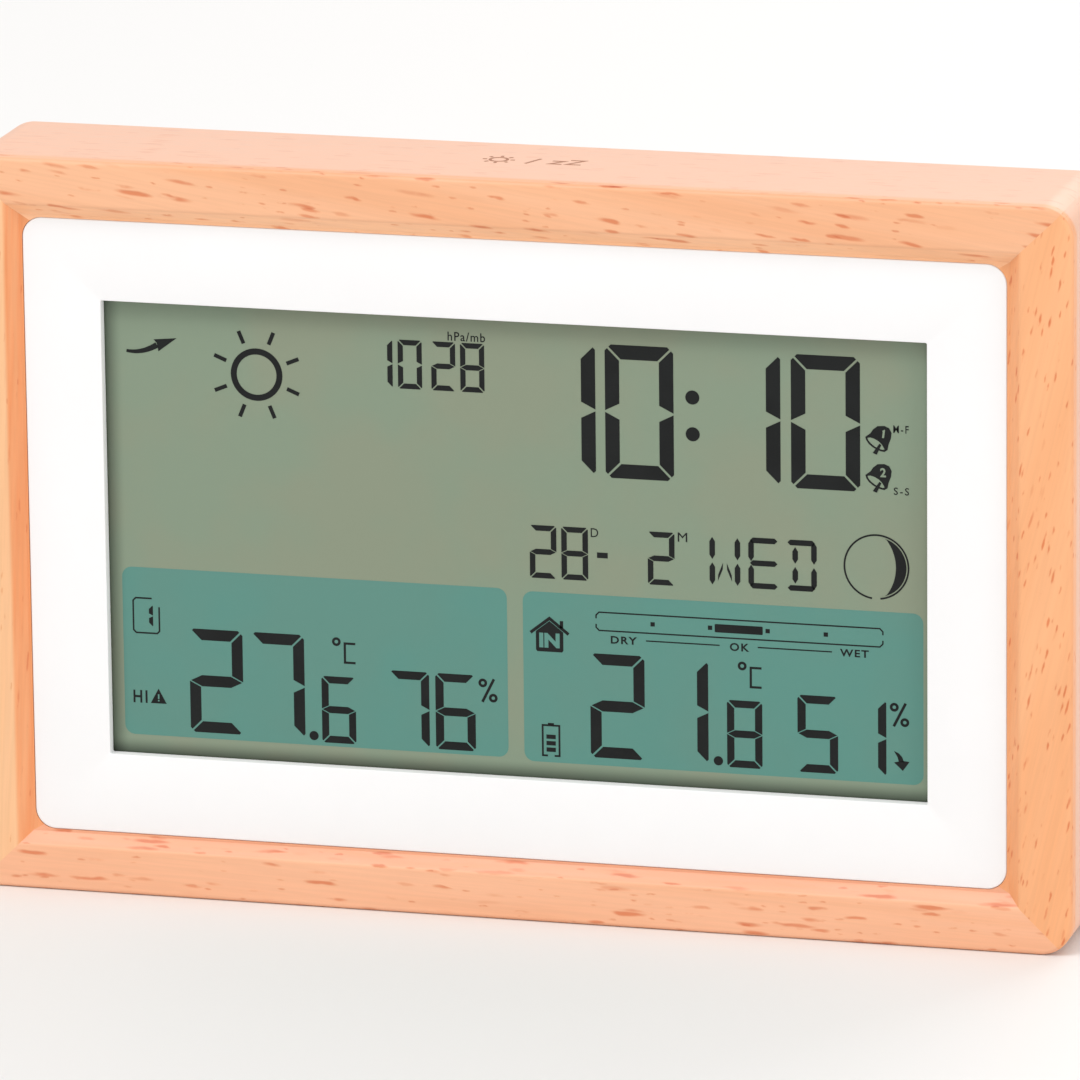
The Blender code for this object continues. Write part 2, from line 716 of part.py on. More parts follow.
def cover_cutters():
    """Everything that goes through the cover's plate, apart from the battery bay."""
    tools = []
    half_x = KEY_WIDTH / 2 + GAP
    half_z = KEY_HEIGHT / 2 + GAP
    for name, x in zip(KEY_NAMES, key_positions()):
        hole = through_hole(f"key_hole_{name}", x, KEY_ROW_Z, half_x, half_z, half_z - 0.0001, 4)
        tools.append(hole)
    slot_half = SLIDE_KNOB_HALF_WIDTH + SLIDE_TRAVEL / 2 + GAP
    low = (SLIDE_X - slot_half, PLATE_FRONT_Y - 0.001, SLIDE_Z - 0.0016)
    high = (SLIDE_X + slot_half, PLATE_BACK_Y + 0.001, SLIDE_Z + 0.0016)
    tools.append(box("slide_slot", None, low, high))
    for i in range(VENT_COUNT):
        x = SENSOR_X + (i - (VENT_COUNT - 1) / 2) * VENT_SPACING
        tools.append(through_hole(f"vent_{i}", x, SENSOR_Z, 0.0008, 0.008, 0.0007, 2))
    hole_ring = 6
    for i in range(hole_ring + 1):
        angle = 2 * math.pi * i / hole_ring
        reach = 0.0032 if i < hole_ring else 0.0
        x = BUZZER_X + reach * math.cos(angle)
        z = BUZZER_Z + reach * math.sin(angle)
        tools.append(rod(f"sound_hole_{i}", None, (x, PLATE_FRONT_Y, z), (0, 1, 0), 0.0007, 0.008, 8))
    tools.append(through_hole("usb_hole", USB_X, USB_Z, 0.0049, 0.00205, 0.0019, 3))
    mouth = (0, PLATE_BACK_Y, KEYHOLE_Z)
    tools.append(rod("keyhole_round", None, mouth, (0, 1, 0), KEYHOLE_HEAD_RADIUS, 0.006, 20))
    slot_z = KEYHOLE_Z + KEYHOLE_RISE / 2
    half = KEYHOLE_SHANK_HALF_WIDTH
    slot = through_hole("keyhole_slot", 0, slot_z, half, KEYHOLE_RISE / 2, half - 0.0001, 4)
    tools.append(slot)
    return tools


def add_cover_supports(cover):
    """The screw posts at the corners, and the two pillars that hold the USB board."""
    for side in (-1, 1):
        for z in COVER_SCREW_Z:
            centre = (side * COVER_SCREW_X, (COVER_FRONT_Y + COVER_WALL_BACK_Y) / 2, z)
            length = COVER_WALL_BACK_Y - COVER_FRONT_Y
            post_name = f"post_{side}_{z:.3f}"
            join(cover, rod(post_name, None, centre, (0, 1, 0), SCREW_POST_RADIUS, length, 16))
    pillar_front = USB_BOARD_BACK_Y + GAP
    for i, (dx, dz) in enumerate(((-0.0055, -0.0036), (0.0055, 0.0036))):
        centre = (USB_X + dx, (pillar_front + COVER_WALL_BACK_Y) / 2, USB_Z + dz)
        length = COVER_WALL_BACK_Y - pillar_front
        join(cover, rod(f"usb_pillar_{i}", None, centre, (0, 1, 0), 0.0011, length, 8))


def cut_screw_holes(cover):
    for side in (-1, 1):
        for z in COVER_SCREW_Z:
            x = side * COVER_SCREW_X
            shaft_name = f"screw_shaft_{side}_{z:.3f}"
            shaft = rod(shaft_name, None, (x, 0, z), (0, 1, 0), SCREW_RADIUS + GAP, 0.06, 10)
            seat_name = f"screw_seat_{side}_{z:.3f}"
            seat_centre = (x, PLATE_BACK_Y, z)
            seat_radius = SCREW_HEAD_RADIUS + GAP
            seat = rod(seat_name, None, seat_centre, (0, 1, 0), seat_radius, 2 * SCREW_SEAT_DEPTH, 16)
            cut(cover, shaft, seat)


def make_rear_cover():
    half_x = COVER_WIDTH / 2
    half_z = COVER_HEIGHT / 2
    low = (-half_x, COVER_FRONT_Y, MIDDLE_Z - half_z)
    high = (half_x, PLATE_BACK_Y, MIDDLE_Z + half_z)
    cover = plate("rear_cover", REAR_PLASTIC, low, high, COVER_CORNER_RADIUS, 2)
    inside_low = (low[0] + COVER_WALL, -DEPTH, low[2] + COVER_WALL)
    inside_high = (high[0] - COVER_WALL, PLATE_FRONT_Y, high[2] - COVER_WALL)
    cut(cover, box("cover_inside", None, inside_low, inside_high))

    bay_x = BAY_WIDTH / 2
    bay_low_z = BAY_CENTRE_Z - BAY_HEIGHT / 2
    bay_high_z = BAY_CENTRE_Z + BAY_HEIGHT / 2
    low = (-bay_x - BAY_WALL, BAY_FLOOR_Y - BAY_WALL, bay_low_z - BAY_WALL)
    high = (bay_x + BAY_WALL, COVER_WALL_BACK_Y, bay_high_z + BAY_WALL)
    bay_box = box("bay_box", None, low, high)
    pocket_low_z = KEYHOLE_Z - 0.0060
    pocket_high_z = KEYHOLE_Z + 0.0125
    pocket_depth = 0.0042
    pocket_half_x = 0.0060
    pocket_wall = 0.0012
    outer_half_x = pocket_half_x + pocket_wall
    outer_front = PLATE_FRONT_Y - pocket_depth - pocket_wall
    low = (-outer_half_x, outer_front, pocket_low_z - pocket_wall)
    high = (outer_half_x, COVER_WALL_BACK_Y, pocket_high_z + pocket_wall)
    pocket_box = box("keyhole_box", None, low, high)
    join(cover, bay_box, pocket_box)
    add_cover_supports(cover)

    bay = box("bay_cutter", None, (-bay_x, BAY_FLOOR_Y, bay_low_z), (bay_x, REAR_Y, bay_high_z))
    low = (-bay_x - DOOR_LEDGE, DOOR_FRONT_Y - GAP, bay_low_z - DOOR_LEDGE)
    high = (bay_x + DOOR_LEDGE, REAR_Y, bay_high_z + DOOR_LEDGE)
    door_seat = box("door_seat_cutter", None, low, high)
    notch_centre = (0, PLATE_BACK_Y + 0.0009, bay_high_z + DOOR_LEDGE + 0.0012)
    finger_notch = rod("finger_notch", None, notch_centre, (0, 1, 0), 0.0050, 0.0042, 20)
    low = (-pocket_half_x, PLATE_FRONT_Y - pocket_depth, pocket_low_z)
    pocket = box("keyhole_pocket", None, low, (pocket_half_x, PLATE_FRONT_Y, pocket_high_z))
    low = (-0.013, COVER_FRONT_Y + 0.001, MIDDLE_Z + half_z - 2 * COVER_WALL)
    touch_slot = box("touch_slot", None, low, (0.013, 0.008, HEIGHT))
    cut(cover, bay, door_seat, finger_notch, pocket, touch_slot, *cover_cutters())
    cut_screw_holes(cover)


def make_battery_door():
    """The door swings on its lower edge, which is round about the hinge axis."""
    half_x = BAY_WIDTH / 2 + DOOR_LEDGE - GAP
    low_z = BAY_CENTRE_Z - BAY_HEIGHT / 2 - DOOR_LEDGE + GAP
    high_z = BAY_CENTRE_Z + BAY_HEIGHT / 2 + DOOR_LEDGE - GAP
    axis_z = low_z + DOOR_THICKNESS / 2
    axis_y = DOOR_FRONT_Y + DOOR_THICKNESS / 2
    bm = cube_bmesh((2 * half_x, DOOR_THICKNESS, high_z - axis_z))
    bmesh.ops.translate(bm, vec=(0, 0, (high_z - axis_z) / 2), verts=bm.verts)
    door = add_object("battery_door", mesh_from("battery_door", bm), REAR_PLASTIC, (0, axis_y, axis_z))
    barrel = rod("door_barrel", None, (0, axis_y, axis_z), (1, 0, 0), DOOR_THICKNESS / 2, 2 * half_x, 12)
    join(door, barrel)
    for i in range(4):
        z = high_z - 0.0040 - 0.0016 * i
        groove = box(
            f"door_groove_{i}",
            None,
            (-0.006, PLATE_BACK_Y - 0.0003, z - 0.0004),
            (0.006, PLATE_BACK_Y + 0.001, z + 0.0004),
        )
        cut(door, groove)


def make_batteries():
    """Two AAA cells, nose to tail, with a spring at each flat end and flat contacts on both walls."""
    end = CELL_LENGTH + NUB_LENGTH
    cell_profile = (
        (0, 0),
        (CELL_RADIUS - 0.0005, 0),
        (CELL_RADIUS, 0.0005),
        (CELL_RADIUS, CELL_LENGTH - 0.0006),
        (CELL_RADIUS - 0.0008, CELL_LENGTH),
        (NUB_RADIUS, CELL_LENGTH),
        (NUB_RADIUS, end),
        (0, end),
    )
    wall = BAY_WIDTH / 2 - GAP
    contact_face = wall - 0.0004
    base = contact_face - GAP - end
    spring_gap = 0.0003 + GAP
    for number, side in ((1, 1), (2, -1)):
        z = BAY_CENTRE_Z + side * CELL_SPACING / 2
        place = (side * base, CELL_Y, z)
        turned(f"battery_{number}", CELL_JACKET, place, (side, 0, 0), cell_profile, 20)
        spring_start = (-side * (contact_face - spring_gap), CELL_Y, z)
        spring_end = (side * (base - spring_gap), CELL_Y, z)
        coil = coil_points(spring_start, spring_end, 0.0036, 0.0020, 4)
        wire(f"battery_spring_{number}", STEEL, coil, 0.00025, 1)

    def contact(name, side, z_from, z_to):
        ends = sorted((side * contact_face, side * wall))
        low = (ends[0], CELL_Y - 0.0042, BAY_CENTRE_Z + z_from)
        box(name, STEEL, low, (ends[1], CELL_Y + 0.0042, BAY_CENTRE_Z + z_to))

    far = 0.0098
    near = 0.0022
    contact("battery_bridge", -1, -far, far)
    contact("battery_contact_plus", 1, near, far)
    contact("battery_contact_minus", 1, -far, -near)


def make_cover_screws():
    head_base = PLATE_BACK_Y - SCREW_SEAT_DEPTH + GAP
    tip = LEDGE_BACK_Y - SCREW_PILOT_DEPTH + GAP - head_base
    profile = (
        (0, tip),
        (SCREW_RADIUS, tip + 0.0015),
        (SCREW_RADIUS, 0),
        (SCREW_HEAD_RADIUS, 0),
        (SCREW_HEAD_RADIUS, SCREW_HEAD_HEIGHT - 0.0005),
        (SCREW_HEAD_RADIUS - 0.0008, SCREW_HEAD_HEIGHT),
        (0, SCREW_HEAD_HEIGHT),
    )
    number = 0
    for side in (-1, 1):
        for z in COVER_SCREW_Z:
            number += 1
            place = (side * COVER_SCREW_X, head_base, z)
            turned(f"cover_screw_{number}", STEEL, place, (0, 1, 0), profile, 12)


# ---------------------------------------------------------------- power input and leads


def make_usb():
    low = (USB_X - 0.007, USB_BOARD_FRONT_Y, USB_Z - 0.005)
    box("usb_board", BOARD_GREEN, low, (USB_X + 0.007, USB_BOARD_BACK_Y, USB_Z + 0.005))
    half_x = 0.0045
    half_z = 0.00165
    shell = 0.0003
    front = USB_BOARD_BACK_Y + GAP
    back = PLATE_BACK_Y - 0.0002
    low = (USB_X - half_x, front, USB_Z - half_z)
    high = (USB_X + half_x, back, USB_Z + half_z)
    socket = plate("usb_socket", STEEL, low, high, 0.0015, 3)
    low = (USB_X - half_x + shell, front + 0.001, USB_Z - half_z + shell)
    high = (USB_X + half_x - shell, back + 0.002, USB_Z + half_z - shell)
    cut(socket, plate("usb_mouth", None, low, high, 0.0013, 3))
    low = (USB_X - 0.0033, front + 0.0005, USB_Z - 0.00035)
    high = (USB_X + 0.0033, back - 0.001, USB_Z + 0.00035)
    join(socket, box("usb_tongue", None, low, high))


def make_leads():
    """Two insulated leads from the battery bay's end wall up to the main board."""
    bay_end = BAY_WIDTH / 2 + BAY_WALL + GAP
    for name, material, z, board_x in (
        ("battery_lead_red", RED_WIRE, BAY_CENTRE_Z + 0.006, 0.036),
        ("battery_lead_black", BLACK_WIRE, BAY_CENTRE_Z - 0.006, 0.041),
    ):
        start = bay_end + 0.0006
        route = (
            (start, CELL_Y, z),
            (start + 0.0040, CELL_Y - 0.0006, z + 0.0015),
            (board_x + 0.001, 0.0042, 0.0380),
            (board_x, 0.0030, 0.0440),
            (board_x, BOARD_BACK_Y + 0.0010, 0.0475),
        )
        wire(name, material, smooth_curve(route, 0.0016), 0.0006, 1)


def main():
    make_frame()
    make_bezel()
    make_display()
    make_holder()
    make_board()
    make_chip_and_crystal()
    make_sensors()
    make_buzzer()
    make_receiver()
    make_touch_field()
    make_switches()
    make_keys()
    make_slide_switch()
    make_rear_cover()
    make_battery_door()
    make_batteries()
    make_cover_screws()
    make_usb()
    make_leads()
    for obj in PARTS.objects:
        if obj.type == "MESH":
            obj.data.shade_smooth()
            obj.data.set_sharp_from_angle(angle=math.radians(35))


main()
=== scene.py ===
"""Looks of the home weather station: beech frame, white bezel, reflective LCD, plastic rear.

Metres, in the row frame: X to the object's right, Y from the front to the back, Z up.
"""

import json
import math

import bmesh
import bpy
from mathutils import Matrix, Vector


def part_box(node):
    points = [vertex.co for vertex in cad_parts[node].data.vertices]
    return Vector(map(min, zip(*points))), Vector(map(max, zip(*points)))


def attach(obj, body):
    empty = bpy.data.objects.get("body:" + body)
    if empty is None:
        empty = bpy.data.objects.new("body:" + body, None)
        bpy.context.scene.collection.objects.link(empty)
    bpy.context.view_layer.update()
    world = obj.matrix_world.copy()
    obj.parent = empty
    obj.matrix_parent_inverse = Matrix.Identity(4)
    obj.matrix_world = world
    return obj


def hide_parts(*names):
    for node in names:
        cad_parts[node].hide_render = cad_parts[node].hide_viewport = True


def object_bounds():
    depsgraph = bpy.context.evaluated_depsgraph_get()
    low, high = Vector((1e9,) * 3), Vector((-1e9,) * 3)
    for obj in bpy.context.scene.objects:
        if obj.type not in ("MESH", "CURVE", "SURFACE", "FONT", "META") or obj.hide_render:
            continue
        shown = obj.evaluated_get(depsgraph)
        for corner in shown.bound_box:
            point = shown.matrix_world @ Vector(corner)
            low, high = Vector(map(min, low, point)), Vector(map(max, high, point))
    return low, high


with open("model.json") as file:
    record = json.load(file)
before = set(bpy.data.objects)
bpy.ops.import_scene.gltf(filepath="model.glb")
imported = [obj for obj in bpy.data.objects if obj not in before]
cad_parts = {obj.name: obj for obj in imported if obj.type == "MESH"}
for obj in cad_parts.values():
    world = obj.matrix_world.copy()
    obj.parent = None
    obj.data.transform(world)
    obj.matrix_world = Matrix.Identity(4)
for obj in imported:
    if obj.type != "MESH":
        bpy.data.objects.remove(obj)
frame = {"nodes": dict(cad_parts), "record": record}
CAD_LOW, CAD_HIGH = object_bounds()
NODES = frame["nodes"]
MM = 0.001
HOUSING = "housing"

# Places read from the frame.
FRONT_Y = CAD_LOW.y
REAR_Y = CAD_HIGH.y
HALF_WIDTH = CAD_HIGH.x
HALF_HEIGHT = (CAD_HIGH.z - CAD_LOW.z) / 2
MIDDLE_Z = CAD_LOW.z + HALF_HEIGHT
GLASS_LOW, GLASS_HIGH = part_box("lcd_front_glass")
BEZEL_LOW, BEZEL_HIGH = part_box("bezel_plate")
COVER_LOW, COVER_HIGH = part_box("rear_cover")
GLASS_Y = GLASS_LOW.y

# Wooden frame. The rim slopes down to the bezel's level, then drops straight to a ledge.
EASE = 0.02 * MM
OUTER_CORNER_RADIUS = 4.8 * MM
FRONT_ARRIS = 0.7 * MM
REAR_ARRIS = 0.8 * MM
INNER_ARRIS = 0.8 * MM
WALL_TO_BEZEL = 0.04 * MM
SIDE_RIM = 8.2 * MM
END_RIM = 7.2 * MM
BEVEL_WIDTH = 1.3 * MM
BEVEL_DEPTH = 1.6 * MM
RECESS_DEPTH = 3.5 * MM
SIDE_LEDGE = 4.0 * MM
END_LEDGE = 3.0 * MM
LEDGE_THICKNESS = 4.5 * MM
CAVITY_SIDE = 7.0 * MM
CAVITY_END = 5.5 * MM
SHARP = 0.08 * MM

# Bezel plate.
BEZEL_RADIUS = 3.0 * MM
BEZEL_EDGE = 0.25 * MM
WINDOW_HALF_WIDTH = 61.4 * MM
WINDOW_HALF_HEIGHT = 34.1 * MM
WINDOW_EDGE = 0.12 * MM


# ---------------------------------------------------------------- camera and studio

CAMERA_AZIMUTH = math.radians(15.23)
CAMERA_ELEVATION = math.radians(14.53)
CAMERA_ROLL = math.radians(-0.64)
CAMERA_DISTANCE = 1.4931
CAMERA_TARGET = Vector((0.00466, FRONT_Y, 0.05743))
CAMERA_LENS = 345.9


def make_camera():
    azimuth, elevation = CAMERA_AZIMUTH, CAMERA_ELEVATION
    back = Vector(
        (
            math.sin(azimuth) * math.cos(elevation),
            -math.cos(azimuth) * math.cos(elevation),
            math.sin(elevation),
        )
    )
    level = Vector((math.cos(azimuth), math.sin(azimuth), 0))
    upright = back.cross(level)
    right = math.cos(CAMERA_ROLL) * level + math.sin(CAMERA_ROLL) * upright
    up = back.cross(right)
    data = bpy.data.cameras.new("camera")
    data.lens = CAMERA_LENS
    data.sensor_width = 36
    data.clip_end = 20
    camera = bpy.data.objects.new("camera", data)
    bpy.context.scene.collection.objects.link(camera)
    turn = Matrix((right, up, back)).transposed().to_4x4()
    camera.matrix_world = Matrix.Translation(CAMERA_TARGET + back * CAMERA_DISTANCE) @ turn
    bpy.context.scene.camera = camera


def area_light(name, location, target, size, energy, colour=(1, 1, 1)):
    data = bpy.data.lights.new(name, "AREA")
    data.shape = "RECTANGLE"
    data.size, data.size_y = size
    data.energy = energy
    data.color = colour
    light = bpy.data.objects.new(name, data)
    bpy.context.scene.collection.objects.link(light)
    light.location = location
    light.rotation_mode = "QUATERNION"
    light.rotation_quaternion = (Vector(target) - Vector(location)).to_track_quat("-Z", "Y")


def make_studio():
    scene = bpy.context.scene
    scene.view_settings.view_transform = "Standard"
    world = bpy.data.worlds.new("studio")
    world.use_nodes = True
    background = world.node_tree.nodes["Background"]
    background.inputs["Color"].default_value = (1.0, 0.998, 0.995, 1)
    background.inputs["Strength"].default_value = 0.78
    scene.world = world
    centre = (0, 0, 0.05)
    area_light("key", (-0.35, -0.75, 1.45), centre, (0.8, 0.8), 11, (1.0, 0.995, 0.99))
    area_light("fill", (1.5, -0.6, 0.5), centre, (1.0, 1.0), 6.5, (0.98, 0.99, 1.0))
    area_light("back", (0.3, 1.2, 0.9), centre, (1.0, 0.8), 6)

    mesh = bpy.data.meshes.new("floor")
    bm = bmesh.new()
    bmesh.ops.create_grid(bm, x_segments=1, y_segments=1, size=4)
    bm.to_mesh(mesh)
    bm.free()
    floor = bpy.data.objects.new("floor", mesh)
    scene.collection.objects.link(floor)
    floor.location.z = CAD_LOW.z
    pale = Surface("floor_pale", (0.80, 0.79, 0.78), 0.6)
    mesh.materials.append(pale.material)


# ---------------------------------------------------------------- materials


class Surface:
    """A material built round one Principled shader, with short calls for the nodes that feed it."""

    def __init__(self, name, colour, roughness, metallic=0.0, **constants):
        self.material = bpy.data.materials.new(name)
        self.material.use_nodes = True
        self.tree = self.material.node_tree
        self.shader = self.tree.nodes["Principled BSDF"]
        self.shader.inputs["Base Color"].default_value = (*colour, 1)
        self.shader.inputs["Roughness"].default_value = roughness
        self.shader.inputs["Metallic"].default_value = metallic
        for socket, value in constants.items():
            self.shader.inputs[socket.replace("_", " ")].default_value = value

    def node(self, kind, inputs=None, **settings):
        """A node, with its settings, and its inputs by name or index: a socket is linked, a value is set."""
        made = self.tree.nodes.new(kind)
        for name, value in settings.items():
            setattr(made, name, value)
        for key, value in (inputs or {}).items():
            if isinstance(value, bpy.types.NodeSocket):
                self.tree.links.new(value, made.inputs[key])
            else:
                made.inputs[key].default_value = value
        return made

    def place(self, scale=(1, 1, 1), turn=(0, 0, 0), shift=(0, 0, 0)):
        """The point on the object in metres, turned, then scaled."""
        coordinates = self.node("ShaderNodeTexCoord").outputs["Object"]
        turned = self.node(
            "ShaderNodeMapping", {"Vector": coordinates, "Rotation": turn, "Location": shift}
        ).outputs[0]
        return self.node("ShaderNodeMapping", {"Vector": turned, "Scale": scale}).outputs[0]

    def noise(self, vector, scale=1.0, detail=3.0, roughness=0.5, distortion=0.0):
        return self.node(
            "ShaderNodeTexNoise",
            {
                "Vector": vector,
                "Scale": scale,
                "Detail": detail,
                "Roughness": roughness,
                "Distortion": distortion,
            },
        ).outputs[0]

    def math(self, operation, a, b=0.0):
        return self.node("ShaderNodeMath", {0: a, 1: b}, operation=operation).outputs[0]

    def beyond(self, value, middle, reach):
        """How far a value lies past `reach` to either side of the middle, or nothing."""
        distance = self.math("ABSOLUTE", self.math("SUBTRACT", value, middle))
        return self.math("MAXIMUM", self.math("SUBTRACT", distance, reach), 0.0)

    def remap(self, value, low, high, to_low=0.0, to_high=1.0):
        return self.node(
            "ShaderNodeMapRange",
            {"Value": value, "From Min": low, "From Max": high, "To Min": to_low, "To Max": to_high},
            interpolation_type="SMOOTHSTEP",
        ).outputs[0]

    def mix(self, factor, a, b, blend="MIX"):
        made = self.node("ShaderNodeMix", data_type="RGBA", blend_type=blend)
        for key, value in ((0, factor), (6, a), (7, b)):
            if isinstance(value, bpy.types.NodeSocket):
                self.tree.links.new(value, made.inputs[key])
            else:
                made.inputs[key].default_value = value
        return made.outputs[2]

    def feed(self, socket, value):
        self.tree.links.new(value, self.shader.inputs[socket])

    def bump(self, height, strength, distance):
        normal = self.node(
            "ShaderNodeBump", {"Height": height, "Strength": strength, "Distance": distance}
        ).outputs[0]
        self.feed("Normal", normal)


def rgb(red, green, blue):
    """A colour given as it shows on a screen, 0 to 255, as linear values."""
    linear = []
    for value in (red, green, blue):
        share = value / 255
        linear.append(share / 12.92 if share <= 0.04045 else ((share + 0.055) / 1.055) ** 2.4)
    return linear


BEECH_LIGHT = (0.865, 0.458, 0.258)
BEECH_DARKER = (0.96, 0.90, 0.84)
# Painted sheen: the frame's outer faces are painted paler than the front, from this far behind the front edge.
PAINTED_SHEEN_START = 1.6 * MM
BEECH_PAINTED_SHEEN = (0.79, 0.468, 0.328, 1)
# Painted shade on the frame's outer faces; it shows on the strip along the front edge that the painted sheen leaves
# out.
OUTER_PAINTED_SHADE = (0.95, 0.92, 0.92, 1)
FLECK_TINT = (0.80, 0.50, 0.37, 1)
FLECKS_LONG = (
    (0.0090, 0.00130, 0.50, 0.36, 1.0),
    (0.0055, 0.00105, 0.55, 0.34, 0.9),
    (0.0028, 0.00070, 0.68, 0.30, 0.7),
)
FLECKS_SHORT = (
    (0.0044, 0.00080, 0.50, 0.32, 1.0),
    (0.0030, 0.00065, 0.60, 0.30, 0.9),
)
FLECKS_FEW = (
    (0.0060, 0.00080, 0.78, 0.30, 0.8),
    (0.0030, 0.00060, 0.74, 0.28, 0.6),
)


def beech(name, grain_axis, tilt, shift, flecks=FLECKS_LONG, tint=(1, 1, 1), edge=None):
    """Sanded beech. The grain runs along one axis, tilted a little in the plane of the front.

    Flecks are rows of (length, width, share left out, reach, strength). An edge is a painted light and
    shade tint for the frame's inner bevel and how far it fades out over the rim. The frame's outer faces
    are painted paler as a painted sheen, with hardly any flecks, and get a little painted shade on the
    strip along the front edge.
    """
    light = [c * f for c, f in zip(BEECH_LIGHT, tint)]
    dark = [c * f for c, f in zip(light, BEECH_DARKER)]
    surface = Surface(name, light, 0.42, Specular_IOR_Level=0.45)
    turn = (0, math.radians(tilt), 0)

    def stretched(along, across):
        """Coordinates in which a cell is `along` by `across` metres."""
        scale = [1 / across] * 3
        scale[grain_axis] = 1 / along
        return surface.place(scale, turn, shift)

    bands = surface.noise(stretched(0.09, 0.006), detail=2.0, distortion=0.4)
    fibres = surface.noise(stretched(0.014, 0.00045), detail=3.0, roughness=0.55)
    colour = surface.mix(surface.remap(bands, 0.35, 0.68), (*light, 1), (*dark, 1))
    fibre_shade = surface.remap(fibres, 0.3, 0.7, 0.965, 1.02)
    fibre_colour = surface.node("ShaderNodeCombineColor", {0: fibre_shade, 1: fibre_shade, 2: fibre_shade})
    colour = surface.mix(1.0, colour, fibre_colour.outputs[0], "MULTIPLY")

    place = surface.node("ShaderNodeSeparateXYZ", {0: surface.place()})
    beyond_x = surface.beyond(place.outputs["X"], 0.0, HALF_WIDTH - OUTER_CORNER_RADIUS)
    beyond_z = surface.beyond(place.outputs["Z"], MIDDLE_Z, HALF_HEIGHT - OUTER_CORNER_RADIUS)
    squares = [surface.math("MULTIPLY", part, part) for part in (beyond_x, beyond_z)]
    from_corner = surface.math("SQRT", surface.math("ADD", *squares))
    outer = surface.remap(from_corner, OUTER_CORNER_RADIUS - 0.6 * MM, OUTER_CORNER_RADIUS - 0.1 * MM)
    # Painted sheen mask: the outer faces, from a little behind the front edge.
    behind = surface.remap(place.outputs["Y"], FRONT_Y + PAINTED_SHEEN_START, FRONT_Y + PAINTED_SHEEN_START + 1.6 * MM)
    painted_sheen_mask = surface.math("MULTIPLY", outer, behind)
    # Painted shade on the outer faces; the painted sheen then covers all but the strip along the front edge.
    colour = surface.mix(outer, colour, OUTER_PAINTED_SHADE, "MULTIPLY")
    painted_sheen_colour = surface.mix(1.0, BEECH_PAINTED_SHEEN, fibre_colour.outputs[0], "MULTIPLY")
    colour = surface.mix(painted_sheen_mask, colour, painted_sheen_colour)

    # Painted light and shade on the inner bevel: lighter on the top rail, darker on the other pieces, fading out over
    # the rim in streaks along the grain.
    if edge:
        bevel_painted_light_and_shade, fade = edge
        past_side = surface.beyond(place.outputs["X"], 0.0, HALF_WIDTH - SIDE_RIM)
        past_end = surface.beyond(place.outputs["Z"], MIDDLE_Z, HALF_HEIGHT - END_RIM)
        past = surface.math("MAXIMUM", past_side, past_end)
        ring = surface.remap(past, fade * 0.3, fade, 1.0, 0.0)
        streaks = surface.noise(stretched(0.05, 0.0011), detail=2.0)
        ring = surface.math("MULTIPLY", ring, surface.remap(streaks, 0.3, 0.7, 0.7, 1.0))
        colour = surface.mix(ring, colour, (*bevel_painted_light_and_shade, 1), "MULTIPLY")

    depth = None
    for along, across, left_out, reach, strength in flecks:
        wobble = surface.noise(stretched(along * 0.5, across * 1.6), detail=2.0)
        bent = surface.node(
            "ShaderNodeVectorMath", {0: wobble, 1: (0.6, 0.6, 0.6)}, operation="MULTIPLY"
        ).outputs[0]
        moved = surface.node(
            "ShaderNodeVectorMath", {0: stretched(along, across), 1: bent}, operation="ADD"
        ).outputs[0]
        cells = surface.node("ShaderNodeTexVoronoi", {"Vector": moved, "Scale": 1.0})
        near = surface.remap(cells.outputs["Distance"], reach * 0.35, reach, 1.0, 0.0)
        red = surface.node("ShaderNodeSeparateColor", {0: cells.outputs["Color"]}).outputs[0]
        chosen = surface.remap(red, left_out, left_out + 0.25)
        fleck = surface.math("MULTIPLY", near, chosen)
        factor = surface.math("MULTIPLY", fleck, strength)
        # Flecks are fainter under the painted sheen.
        factor = surface.math("MULTIPLY", factor, surface.remap(painted_sheen_mask, 0.0, 1.0, 1.0, 0.28))
        colour = surface.mix(factor, colour, FLECK_TINT, "MULTIPLY")
        depth = fleck if depth is None else surface.math("MAXIMUM", depth, fleck)
    surface.feed("Base Color", colour)
    surface.feed("Roughness", surface.remap(fibres, 0.3, 0.7, 0.38, 0.5))
    relief = surface.math("SUBTRACT", surface.math("MULTIPLY", fibres, 0.35), depth)
    surface.bump(relief, 0.2, 0.00003)
    return surface.material


def plastic(name, colour, roughness, grain=0.00025, relief=0.00001, strength=0.3, **constants):
    """Moulded plastic with a fine eroded texture and a faint unevenness of gloss."""
    surface = Surface(name, colour, roughness, **constants)
    grains = surface.noise(surface.place((1 / grain,) * 3), detail=3.0)
    clouds = surface.noise(surface.place((1 / 0.02,) * 3), detail=2.0)
    surface.feed("Roughness", surface.remap(clouds, 0.3, 0.7, roughness * 0.93, roughness * 1.07))
    shade = surface.remap(clouds, 0.3, 0.7, 0.985, 1.0)
    grey = surface.node("ShaderNodeCombineColor", {0: shade, 1: shade, 2: shade}).outputs[0]
    surface.feed("Base Color", surface.mix(1.0, (*colour, 1), grey, "MULTIPLY"))
    surface.bump(grains, strength, relief)
    return surface.material


def metal(name, colour, roughness, stretch=(1, 1, 1)):
    """Plated metal with a fine even grain in its bump and a few duller patches."""
    surface = Surface(name, colour, roughness, 1.0)
    lines = surface.noise(surface.place([s / 0.0002 for s in stretch]), detail=3.0)
    clouds = surface.noise(surface.place((1 / 0.003,) * 3), detail=3.0)
    surface.feed("Roughness", surface.remap(clouds, 0.3, 0.7, roughness * 0.8, roughness * 1.3))
    dull = [c * 0.86 for c in colour]
    surface.feed("Base Color", surface.mix(surface.remap(clouds, 0.45, 0.75), (*colour, 1), (*dull, 1)))
    surface.bump(lines, 0.25, 0.000006)
    return surface.material


